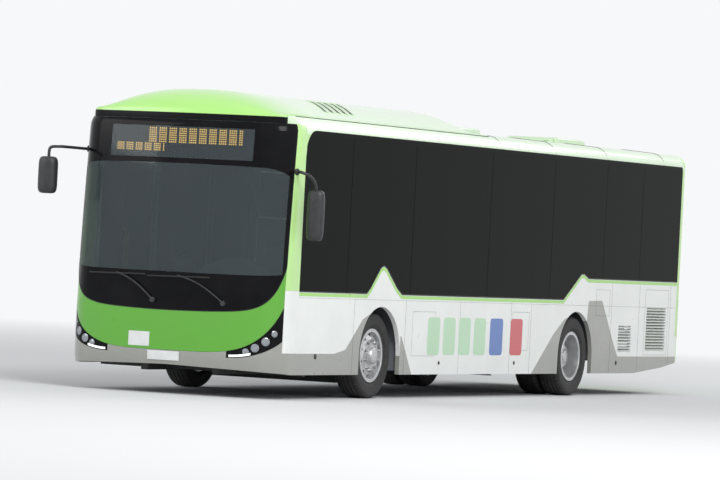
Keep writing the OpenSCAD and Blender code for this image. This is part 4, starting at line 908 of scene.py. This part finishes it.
def build_fairing():
    half = span(0.0, 0.9 * FAIR_HW, 22) + span(0.9 * FAIR_HW, FAIR_HW, 8)[1:]
    s = Shape()
    s.grid([fair_ring(x) for x in [-x for x in half[:0:-1]] + half])
    # the fairing's colour carries a painted sunlit highlight on its top and a painted shadow line at its foot
    o = put(s, "roof_fairing_shell", "roof_sun_fade", angle=40)
    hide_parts("roof_fairing")

    # five slanted slots on each flank, a lip round each; the slots are black sheets for the louvres' dark green and
    # the shade in their recesses, partly painted shade
    slots, lips = Shape(), Shape()
    for side in (-1, 1):
        for i in range(5):
            y0 = st(1.72 + 0.17 * i)
            tops = []
            for u in span(0.0, 1.0, 14):
                places = [(0.55 + 0.38 * u + 0.0406 * w, y0 + 0.35 * (1 - u) + 0.0442 * w)
                          for w in span(0.0, 1.0, 3)]
                tops.append([Vector((side * x, y, fair_top(x) + 0.0015)) for x, y in places])
            slots.grid([top + [p - UP * 0.005 for p in reversed(top)] for top in tops])
            loop = [top[0] for top in tops] + [top[-1] for top in reversed(tops)]
            lips.tube([p + UP * 0.001 for p in loop + loop[:1]], 0.005, 6)
    put(slots, "fairing_slots_painted_shade", "rubber")
    put(lips, "fairing_slot_lips", "mint")

    # seams across the roof, along the fairing's foot and over the side glazing
    s = Shape()
    for station in (5.95, 7.59, 9.27, 11.2):
        s.tube([(x, st(station), roof_line(abs(x)) + 0.0006) for x in span(-HW + 0.004, HW - 0.004, 80)], 0.0032, 6)
    for side in (-1, 1):
        s.tube([(side * (FAIR_HW + 0.001), y, roof_line(FAIR_HW) + 0.002)
                for y in span(st(0.55), st(FAIR_END) - 0.01, 30)], 0.004, 6)
        s.tube([(side * (head_x(HEAD_Z) + 0.0005), y, HEAD_Z + 0.001)
                for y in span(st(PILLAR_S) + HEAD_ARC, st(GLAZING_END), 40)], 0.0022, 6)
    put(s, "roof_seams", "rubber")


def build_hatches():
    for word, station in (("front", 6.50169), ("rear", 9.84837)):
        body = f"hatch_{word}_lid"
        y, z, h = st(station), ROOF_Z + 0.0353, 0.05

        def ring(inset, lift, r):
            return [(px, y + 0.45 + py, z + lift) for px, py in rounded(0.35 - inset, 0.45 - inset, r)]

        s = Shape()
        s.grid([ring(*row) for row in (
            (0.06, 0.012, 0.02), (0.06, 0.0, 0.02), (0.0, 0.0, 0.03), (0.0, h - 0.02, 0.03),
            (0.005, h - 0.012, 0.03), (0.016, h - 0.004, 0.032), (0.04, h, 0.035), (0.085, h, 0.04),
            (0.09, h - 0.003, 0.04), (0.14, h - 0.003, 0.05))])
        # two knuckles round the hinge's pin
        pin_y, pin_z = y - 0.018, ROOF_Z + 0.049
        for x in (-0.196, 0.196):
            s.turned([(-0.03, 0.0063), (-0.03, 0.0115), (-0.0295, 0.012), (0.0295, 0.012), (0.03, 0.0115),
                      (0.03, 0.0063)], (x, pin_y, pin_z), "X", 24)
            s.box((x - 0.03, y - 0.0085, pin_z - 0.008), (x + 0.03, y + 0.002, pin_z + 0.008))
        o = put(s, f"hatch_cover_{word}", "mint", body, angle=30)
        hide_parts(f"hatch_{word}")
        s = Shape()
        loop = ring(0.004, 0.0005, 0.028)
        s.tube(loop + loop[:1], 0.0022, 6)
        put(s, f"hatch_seal_{word}", "rubber", body)


# ---------------------------------------------------------------- mirrors

MIRROR_X = HW + 0.285               # the outer side of both heads


def mirror_head(shape, glass, y0, z0, w, d, h, side):
    """A rounded shell round the CAD head, flat at the rear, with the glass set in there."""
    x0, zc = MIRROR_X - w, z0 + h / 2
    outline = [(w / 2 + w / 2 * cos(a), d * 0.55 + d * 0.55 * sin(a))
               for a in span(pi, 2 * pi, 24)]
    outline += [(w * px, d * py) for px, py in (
        (1, 0.8), (0.985, 0.93), (0.94, 1), (0.5, 1), (0.06, 1), (0.015, 0.93), (0, 0.8))]
    cx, cy = w / 2, d * 0.62
    rings = []
    for t in (-0.999, -0.985, -0.95, -0.9, -0.8, -0.6, -0.3, 0.0, 0.3, 0.6, 0.8, 0.9, 0.95, 0.985, 0.999):
        k = (1 - abs(t) ** 7) ** (1 / 3.2)
        rings.append([(side * (x0 + cx + (px - cx) * (0.3 + 0.7 * k)), y0 + cy + (py - cy) * (0.25 + 0.75 * k),
                       zc + t * h / 2) for px, py in outline])
    shape.grid(rings)
    glass.prism([(side * (x0 + cx + px), y0 + d - 0.0105, zc + pz) for px, pz in rounded(0.44 * w, 0.4 * h, 0.028)],
                (0, 0.012, 0))


def build_mirrors():
    root_g = 31 * SCREEN_GIRTH / 30
    arms, heads, glasses = Shape(), Shape(), Shape()
    right = ((0.045, -0.03, 2.592), (0.08, -0.085, 2.59), (0.14, -0.108, 2.586), (0.17, -0.112, 2.57),
             (0.18, -0.112, 2.53), (0.18, -0.112, 2.47))
    left = ((0.1, 0.33, 2.432), (0.15, 0.375, 2.408), (0.18, 0.44, 2.36), (0.19, 0.485, 2.3),
            (0.19, 0.5, 2.24))
    roots = ((-1, 2.59, right), (1, 2.44, left))
    for sign, z, way in roots:
        path = [skin(sign * root_g, z, out) for out in (0.0, 0.045)]
        path += [(sign * (HW + out), st(s0), height) for out, s0, height in way]
        arms.tube(smooth_path(path, 5), 0.0165, 12)
    for sign, z, _ in roots:
        disc(arms, sign * root_g, z, 0.002, ((-0.004, 0.036), (0.008, 0.036), (0.016, 0.028), (0.018, 0.018)), 24)
    mirror_head(heads, glasses, st(-0.2), 2.08, 0.21, 0.13, 0.4, -1)
    mirror_head(heads, glasses, st(0.44), 1.71, 0.19, 0.11, 0.545, 1)
    o = put(arms, "mirror_arms", "plastic")
    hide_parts("mirrors")
    put(heads, "mirror_heads", "plastic", angle=50)
    put(glasses, "mirror_glasses", "mirror", bevel=0.001)


# ---------------------------------------------------------------- seats

CUSHION, BACK = (0.426, 0.419, 0.09), (0.419, 0.654, 0.055)      # width, length and thickness of a pad
SEAM_AT = 0.45                      # how far up its thickness a pad's seam runs
SEAT_LEAN = radians(8)
LEVEL = (Vector((1, 0, 0)), Vector((0, 1, 0)), UP)
LEAN_UP = Vector((0, sin(SEAT_LEAN), cos(SEAT_LEAN)))
LEAN_OUT = Vector((0, -cos(SEAT_LEAN), sin(SEAT_LEAN)))
LEANING = (Vector((1, 0, 0)), LEAN_UP, LEAN_OUT)


def pad_outline(u, v, w, l):
    return (0.5 * w * u * sqrt(1 - 0.1 * v * v) * (1 - 0.02 * (1 - v * v) * u ** 6),
            0.5 * l * v * sqrt(1 - 0.1 * u * u) * (1 - 0.02 * (1 - u * u) * v ** 6))


def make_pad(w, l, t, channels):
    """Points and faces of one cushion on the plane z = 0, swelled by cloth and then sewn across."""
    n = 22
    marks = [sin(0.5 * pi * v) for v in span(-1.0, 1.0, n)]
    top, low = [], []
    for v in marks:
        for u in marks:
            x, y = pad_outline(u, v, w, l)
            rise = sqrt(max(0.0, (1 - abs(u) ** 5) * (1 - abs(v) ** 5)))
            swell = rise * (1 - u * u) * (1 - v * v)
            top.append((x, y, SEAM_AT * t + (0.55 * t - 0.018) * rise + 0.01 * swell))
            low.append((x, y, SEAM_AT * t * (1 - rise)))
    m = n + 1
    faces = []
    for j in range(n):
        for i in range(n):
            a = j * m + i
            faces.append((a, a + 1, a + m + 1, a + m))
            faces.append((m * m + a, m * m + a + m, m * m + a + m + 1, m * m + a + 1))
    mesh = bpy.data.meshes.new("pad_shape")
    mesh.from_pydata(top + low, [], faces)
    clean(mesh, weld=0.0002)
    mesh = swelled(mesh, 0.013, 0.01)
    points = []
    for p in (v.co for v in mesh.vertices):
        v = 2 * p.y / l
        upper = max(0.0, min(1.0, (p.z / t - 0.5) * 4))
        groove = sum(0.011 * exp(-((v - c) / 0.04) ** 2) for c in channels)
        edge = max(0.0, 1 - (2 * abs(p.x) / w) ** 8)
        points.append(Vector((p.x, p.y, min(t, max(0.0, p.z)) - groove * upper * edge)))
    return points, [tuple(f.vertices) for f in mesh.polygons]


def evaluated(obj):
    """A new mesh with the object's modifiers applied."""
    return bpy.data.meshes.new_from_object(obj.evaluated_get(bpy.context.evaluated_depsgraph_get()))


def swelled(mesh, voxel, cap):
    """A closed mesh after a short cloth simulation with air pressure, no point moved farther than cap."""
    scene = bpy.context.scene
    frames, seam_reach = 20, 0.02
    obj = bpy.data.objects.new("pad_cloth", mesh)
    scene.collection.objects.link(obj)
    remesh = obj.modifiers.new("voxels", "REMESH")
    remesh.mode = "VOXEL"
    remesh.voxel_size = voxel
    solid = evaluated(obj)
    obj.modifiers.clear()
    obj.data = solid
    rest = [v.co.copy() for v in solid.vertices]
    seam = obj.vertex_groups.new(name="seam")
    half_x, half_y = max(p.x for p in rest), max(p.y for p in rest)
    middle = SEAM_AT * max(p.z for p in rest)
    seam.add([i for i, p in enumerate(rest) if abs(p.z - middle) < 0.6 * voxel
              and (abs(p.x) > half_x - seam_reach or abs(p.y) > half_y - seam_reach)], 1.0, "REPLACE")
    cloth = obj.modifiers.new("cloth", "CLOTH")
    cloth.settings.quality = 5
    cloth.settings.use_pressure = True
    cloth.settings.uniform_pressure_force = 4.0
    cloth.settings.effector_weights.gravity = 0.0
    cloth.settings.vertex_group_mass = "seam"
    cloth.point_cache.frame_start = 1
    cloth.point_cache.frame_end = frames
    for f in range(1, frames + 1):
        scene.frame_set(f)
    result = evaluated(obj)
    for v, p in zip(result.vertices, rest):
        move = v.co - p
        if move.length > cap:
            v.co = p + move * (cap / move.length)
    bpy.data.objects.remove(obj)
    scene.frame_set(1)
    return result


def lay_pad(shape, trims, pad, origin, axes, w, l, t):
    """Puts a pad on a seat, with piping along its seam."""
    ax, ay, az = axes
    shape.add([origin + ax * p.x + ay * p.y + az * p.z for p in pad[0]], pad[1])
    path = []
    for u0, v0, u1, v1 in ((-1, -1, 1, -1), (1, -1, 1, 1), (1, 1, -1, 1), (-1, 1, -1, -1)):
        for k in range(10):
            x, y = pad_outline(u0 + (u1 - u0) * k / 10, v0 + (v1 - v0) * k / 10, w, l)
            path.append(origin + ax * x + ay * y + az * SEAM_AT * t)
    trims.tube(path + path[:1], 0.004, 5)


def lay_seat(pads, shapes, x, y, z):
    """One seat with its pads, piping and shell; the frame below it is the CAD model's."""
    cushions, backs, trims, frames = shapes
    top = z + 0.45
    lay_pad(cushions, trims, pads[0], Vector((x, y + 0.215, top - 0.09)), LEVEL, 0.432, 0.425, 0.09)
    foot = Vector((x, y + 0.44, top - 0.05))
    middle = foot - LEAN_OUT * 0.05 + LEAN_UP * 0.335
    lay_pad(backs, trims, pads[1], middle, LEANING, 0.425, 0.66, 0.055)
    # moulded shell behind the backrest, with a grab handle on its top
    outer = ((-1, 0.048), (-1, 0.06), (-0.94, 0.068), (-0.5, 0.0695), (0, 0.07), (0.5, 0.0695), (0.94, 0.068),
             (1, 0.06), (1, 0.048), (0.5, 0.05), (0, 0.05), (-0.5, 0.05))
    rings = []
    for v in (0.0, 0.015, 0.06, 0.2, 0.4, 0.55, 0.63, 0.66, 0.668):
        k = 1.0 if 0.02 < v < 0.62 else 0.94
        rings.append([foot + LEAN_UP * v + Vector((0.218 * k * u, 0, 0)) - LEAN_OUT * d for u, d in outer])
    frames.grid(rings)
    at = foot + LEAN_UP * 0.655 + Vector((0, 0.055, 0))
    frames.tube(smooth_path([at + Vector(p) for p in (
        (-0.17, 0, -0.02), (-0.165, 0.004, 0.002), (0, 0.006, 0.006), (0.165, 0.004, 0.002), (0.17, 0, -0.02))], 4),
        0.009, 8)


def build_seats():
    # station, floor height, and whether the row also has seats on the right
    rows = ((3.5049, LOW_FLOOR_Z, False), (5.20671, LOW_FLOOR_Z, False), (6.10059, LOW_FLOOR_Z, True),
            (7.56, REAR_FLOOR_Z, True), (9.15, REAR_FLOOR_Z, True), (10.21937, DECK_Z, True),
            (11.07468, DECK_Z, True))
    cushions, backs, trims, frames = shapes = Shape(), Shape(), Shape(), Shape()
    pads = make_pad(*CUSHION, (-0.45, 0.1, 0.6)), make_pad(*BACK, (-0.62, -0.1, 0.45, 0.72))
    for s0, z, pairs in rows:
        for side in ((-1, 1) if pairs else (1,)):
            for x in (0.985, 0.525):
                lay_seat(pads, shapes, side * x, st(s0), z)
    o = put(cushions, "seat_cushion_pads", "fabric", angle=60)
    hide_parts("seat_cushions")
    o = put(backs, "seat_back_pads", "fabric", angle=60)
    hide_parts("seat_backs")
    put(trims, "seat_piping", "rubber")
    put(frames, "seat_shells", "seat_shell", angle=40)

    # the driver's seat, with its column
    cushion, back, trims, base = shapes = Shape(), Shape(), Shape(), Shape()
    x, y, z = CAB_X, st(1.05), CAB_FLOOR_Z
    lay_seat(pads, shapes, x, y, z)
    base.turned([(0.0, AXIS), (0.0, 0.16), (0.02, 0.155), (0.05, 0.1), (0.3, 0.085), (0.33, 0.12), (0.34, AXIS)],
                (x, y + 0.22, z), "Z", 24)
    base.box((x - 0.16, y + 0.05, z + 0.325), (x + 0.16, y + 0.43, z + 0.358))
    base.tube([(x, y + 0.42, z + 0.345), (x, y + 0.475, z + 0.345), (x, y + 0.485, z + 0.42)], 0.022, 10)
    o = put(cushion, "driver_cushion_pad", "driver_fabric", angle=60)
    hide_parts("driver_seat")
    o = put(back, "driver_back_pad", "driver_fabric", angle=60)
    put(trims, "driver_seat_piping", "rubber")
    put(base, "driver_seat_frame", "plastic", bevel=0.003, angle=40)


# ---------------------------------------------------------------- doors, cab and rails

def build_doors():
    low, top, half_leaf = 0.37, 2.49, 0.3235
    edge, reach = 0.012, 2 * half_leaf
    out = -HW
    for i, (s0, d) in enumerate((a, d) for doorway in DOORWAYS for a, d in zip(doorway, (1, -1))):
        body = f"door_leaf_{i + 1}"
        y0, y1 = st(s0) + d * edge, st(s0) + d * reach
        # a soft seal on the free edge, one on the edge by the post, and a thin one round the pane on both faces
        seals, rails, pins = Shape(), Shape(), Shape()
        for y, r in ((y1 + d * 0.0008, 0.0021), (y0, 0.004)):
            seals.tube([(out + 0.02, y, low + 0.006), (out + 0.02, y, top - 0.006)], r, 8)
        ya, yb = sorted((y0 + d * 0.06, y1 - d * 0.06))
        loop = [(ya, low + 0.11), (yb, low + 0.11), (yb, top - 0.09), (ya, top - 0.09)]
        for x in (out + 0.0155, out + 0.0245):
            seals.bars([(x, *p) for p in loop], 0.0045, 6)
        put(seals, f"door_seals_{i + 1}", "rubber", body)
        # a grab rail inside, on two feet
        x, y = out + 0.04, y1 - d * 0.03
        rails.tube(smooth_path([(x + dx, y, low + dz) for dx, dz in (
            (-0.004, 0.62), (0.022, 0.66), (0.024, 1.0), (0.022, 1.34), (-0.004, 1.38))], 6), 0.0105, 10)
        for z in (low + 0.62, low + 1.38):
            rails.turned([(-0.001, AXIS), (-0.001, 0.022), (0.004, 0.02), (0.006, AXIS)], (x, y, z), "X", 20)
        put(rails, f"door_rail_{i + 1}", "yellow", body)
        # small bolts on the arms' bosses
        for z in (low - 0.03, top + 0.03):
            pins.turned([(-0.003, AXIS), (-0.003, 0.008), (0.003, 0.008), (0.003, AXIS)],
                        (out + 0.075, st(s0) + d * (half_leaf - 0.03), z), "Z", 6)
        put(pins, f"door_pins_{i + 1}", "steel", body)
    # frames of the doorways: a dark seal round each opening, and a step plate
    s, steps = Shape(), Shape()
    for a, b in DOORWAYS:
        for y in (st(a), st(b)):
            s.box((out - 0.0012, y - 0.006, 0.345), (out - 0.0001, y + 0.006, 2.5))
        s.box((out - 0.0012, st(a) - 0.006, 2.494), (out - 0.0001, st(b) + 0.006, 2.506))
        steps.box((out + 0.052, st(a) + 0.02, 0.3402), (out + 0.3, st(b) - 0.02, 0.3414))
    put(s, "doorway_seals", "rubber")
    put(steps, "doorway_step_plates", "yellow", smooth=False)


def build_cab():
    # instruments on the hood, switches on the shelf and a till by the doorway
    shelf = 1.3004
    s = Shape()
    for x, r in ((0.48, 0.052), (0.6, 0.06), (0.72, 0.052)):
        s.grid([[(x + k * r * cos(t), st(0.505) + d, 1.372 + k * r * sin(t)) for t in circle(32)]
                for d, k in ((0.0, 1.0), (0.01, 1.0), (0.012, 0.9), (0.004, 0.86), (0.004, 0.05))])
    for i in range(8):
        x = 0.2 + 0.028 * i
        s.box((x, st(0.43), shelf), (x + 0.022, st(0.46), 1.306))
    put(s, "cab_instruments", "plastic", bevel=0.001)
    s = Shape()
    s.prism([(x, st(s0), shelf) for x, s0 in ((0.12, 0.44), (-0.1, 0.44), (-0.1, 0.36), (0.12, 0.36))],
            (0, 0.02, 0.13))
    put(s, "ticket_machine", "plastic", bevel=0.008)
    # a smooth rim with a fluted grip over the CAD wheel
    s = Shape()
    tilt = Matrix.Rotation(radians(-25), 3, "X")
    hub, wheel_r = Vector((CAB_X, st(0.76), 1.37)), 0.225
    rings = []
    for a in circle(72):
        grip = 0.0162 + 0.0006 * cos(a * 24)
        rings.append([hub + tilt @ Vector(((wheel_r + grip * cos(b)) * cos(a),
                                           (wheel_r + grip * cos(b)) * sin(a), grip * sin(b)))
                      for b in circle(12)])
    s.grid(rings, looped=True)
    put(s, "steering_wheel_grip", "rubber")
    # a frame of bars on the partition behind the driver
    s = Shape()
    x0, x1, z0, z1, mid_z = 0.215, 1.21, CAB_FLOOR_Z, 1.94, 1.35
    for (xa, za), (xb, zb) in (((x0, z0), (x0, z1)), ((x1, z0), (x1, z1)), ((x0, z1), (x1, z1)),
                               ((x0, mid_z), (x1, mid_z))):
        s.tube([(xa, st(1.695), za), (xb, st(1.695), zb)], 0.0165, 10)
    put(s, "partition_frame", "steel")


def build_rails():
    """Collars on the upright rails, and stop buttons."""
    s, buttons = Shape(), Shape()
    for q, side in ((0.27, 1), (0.27, -1), (0.405, 1), (0.565, 1), (0.565, -1), (0.705, 1), (0.705, -1)):
        x, y = side * 0.33, FRONT_AXLE_Y + WHEELBASE * q
        for z, up in ((LOW_FLOOR_Z, 1), (CEILING_Z, -1)):
            s.turned([(0.0, 0.0172), (0.0, 0.04), (up * 0.006, 0.04), (up * 0.016, 0.024), (up * 0.03, 0.0215),
                      (up * 0.03, 0.0172)], (x, y, z), "Z", 24)
        buttons.box((x - 0.026, y - 0.036, 1.45), (x + 0.026, y - 0.018, 1.55))
    put(s, "rail_collars", "steel")
    put(buttons, "stop_buttons", "red_lens", bevel=0.005)


# ---------------------------------------------------------------- rear

def build_rear():
    s = Shape()
    corners = ((-0.95, 1.75), (0.95, 1.75), (0.95, 2.6), (-0.95, 2.6))
    s.bars([(x, REAR_Y - 0.002, z) for x, z in corners], 0.0055, 8)
    put(s, "rear_window_seal", "rubber")
    # lamps: a domed lens and a ring round it, three a side
    lens, rims = Shape(), Shape()
    for side in (-1, 1):
        for z in (0.785 + 0.17 * i for i in range(3)):
            at = (side * (HW - 0.1), REAR_Y - 0.001, z)
            lens.turned([(-0.001, AXIS), (-0.001, 0.05), (0.002, 0.05), (0.0045, 0.03), (0.005, AXIS)], at, "Y", 32)
            rims.turned([(-0.001, 0.05), (-0.001, 0.059), (0.003, 0.057), (0.003, 0.052)], at, "Y", 32)
    put(lens, "tail_lamp_domes", "red_lens")
    put(rims, "tail_lamp_rings", "silver")
    # blank plate, handle and buffers on the lid, and a high brake light
    s = Shape()
    s.box((-0.26, REAR_Y - 0.0045, 0.555), (0.26, REAR_Y - 0.001, 0.665))
    put(s, "rear_plate_blank", "plate_white", "engine_door", bevel=0.002)
    s = Shape()
    s.tube(smooth_path([(x, REAR_Y + dy, 0.495) for x, dy in (
        (-0.09, -0.006), (-0.085, 0.01), (0, 0.014), (0.085, 0.01), (0.09, -0.006))], 5), 0.006, 8)
    for x in (-0.7, 0.7):
        s.turned([(-0.004, AXIS), (-0.004, 0.016), (0.001, 0.016), (0.003, 0.01), (0.003, AXIS)],
                 (x, REAR_Y - 0.004, 0.6), "Y", 20)
    put(s, "engine_lid_handle", "plastic", "engine_door")
    s = Shape()
    s.box((-0.3, REAR_Y - 0.001, 2.68), (0.3, REAR_Y + 0.006, 2.715))
    put(s, "high_brake_light", "red_lens", bevel=0.003)


# ---------------------------------------------------------------- floor, light and camera

SKY = (0.93, 0.94, 0.95, 1)


def build_stage():
    # a pale floor that turns into the sky's colour far out
    m, tree = new_material("stage_pale")
    away = tree.node("VectorMath", {0: tree.node("TexCoord", {}, "Object")}, "Value", operation="LENGTH")
    near = tree.node("BsdfDiffuse", {"Color": (0.8, 0.8, 0.8, 1)})
    far = tree.node("Emission", {"Color": SKY})
    tree.show(tree.node("MixShader", {0: tree.remap(away, 10.0, 34.0), 1: near, 2: far}))
    mesh = bpy.data.meshes.new("stage_floor")
    reach = 400.0
    mesh.from_pydata([(-reach, -reach, -0.001), (reach, -reach, -0.001), (reach, reach, -0.001),
                      (-reach, reach, -0.001)], [], [(0, 1, 2, 3)])
    floor = bpy.data.objects.new("stage_floor", mesh)
    bpy.context.scene.collection.objects.link(floor)
    mesh.materials.append(m)

    # the sky is brighter to the camera and in reflections than as a light
    world = bpy.data.worlds.new("soft_sky")
    bpy.context.scene.world = world
    tree = Tree(world, "ShaderNodeOutputWorld")
    shown = tree.node("Background", {"Color": SKY, "Strength": 1.0})
    light = tree.node("Background", {"Color": (0.93, 0.96, 1.0, 1), "Strength": 0.55})
    seen = tree.node("LightPath", {}, "Is Camera Ray")
    for ray in ("Is Glossy Ray", "Is Transmission Ray"):
        seen = tree.node("Math", {0: seen, 1: tree.node("LightPath", {}, ray)}, operation="MAXIMUM")
    tree.show(tree.node("MixShader", {0: seen, 1: light, 2: shown}))

    for name, place, aim, size, power in (
            ("key_light", (16, -18, 16), (0, -2, 1.2), 10, 3250),
            ("fill_light", (-12, -16, 9), (0, -4, 1.2), 9, 700),
            ("back_light", (6, 18, 14), (0, 2, 1.5), 10, 900)):
        data = bpy.data.lights.new(name, "AREA")
        data.shape = "RECTANGLE"
        data.size = data.size_y = size
        data.energy = power
        lamp = bpy.data.objects.new(name, data)
        lamp.location = place
        lamp.rotation_euler = (Vector(aim) - Vector(place)).to_track_quat("-Z", "Y").to_euler()
        bpy.context.scene.collection.objects.link(lamp)


def build_camera():
    """The camera fitted to the photograph, in pixels of its 720 by 480."""
    place = (23.78, -52.66, 1.7)
    yaw, pitch, roll = 0.4544, 0.0497, -0.0519
    focal_px, width_px, height_px, sensor = 3026.4562, 720.0, 480.0, 36.0
    zoom = 1.62                      # how much larger than in the photograph the bus is shown
    middle_x, middle_y = 421.0, 391.0          # the photograph's pixel at the middle of the view
    ahead = Vector((-sin(yaw) * cos(pitch), cos(yaw) * cos(pitch), sin(pitch)))
    level = Vector((cos(yaw), sin(yaw), 0))
    upright = level.cross(ahead)
    right = cos(roll) * level - sin(roll) * upright
    up = sin(roll) * level + cos(roll) * upright
    ahead = (focal_px * ahead + (middle_x - width_px / 2) * right - (middle_y - height_px / 2) * up).normalized()
    right = (right - right.dot(ahead) * ahead).normalized()
    data = bpy.data.cameras.new("photo_camera")
    data.sensor_width = sensor
    data.lens = focal_px * zoom / width_px * sensor
    data.clip_end = 1000.0
    camera = bpy.data.objects.new("photo_camera", data)
    bpy.context.scene.collection.objects.link(camera)
    pose = Matrix((right, right.cross(ahead), -ahead)).transposed()
    camera.matrix_world = Matrix.Translation(place) @ pose.to_4x4()
    bpy.context.scene.camera = camera


build_front()
build_display()
build_wheels()
for side, word in SIDES:
    build_side(side, word)
build_blocks()
build_fairing()
build_hatches()
build_mirrors()
build_seats()
build_doors()
build_cab()
build_rails()
build_rear()
build_stage()
build_camera()
bpy.context.scene.view_settings.view_transform = "Standard"
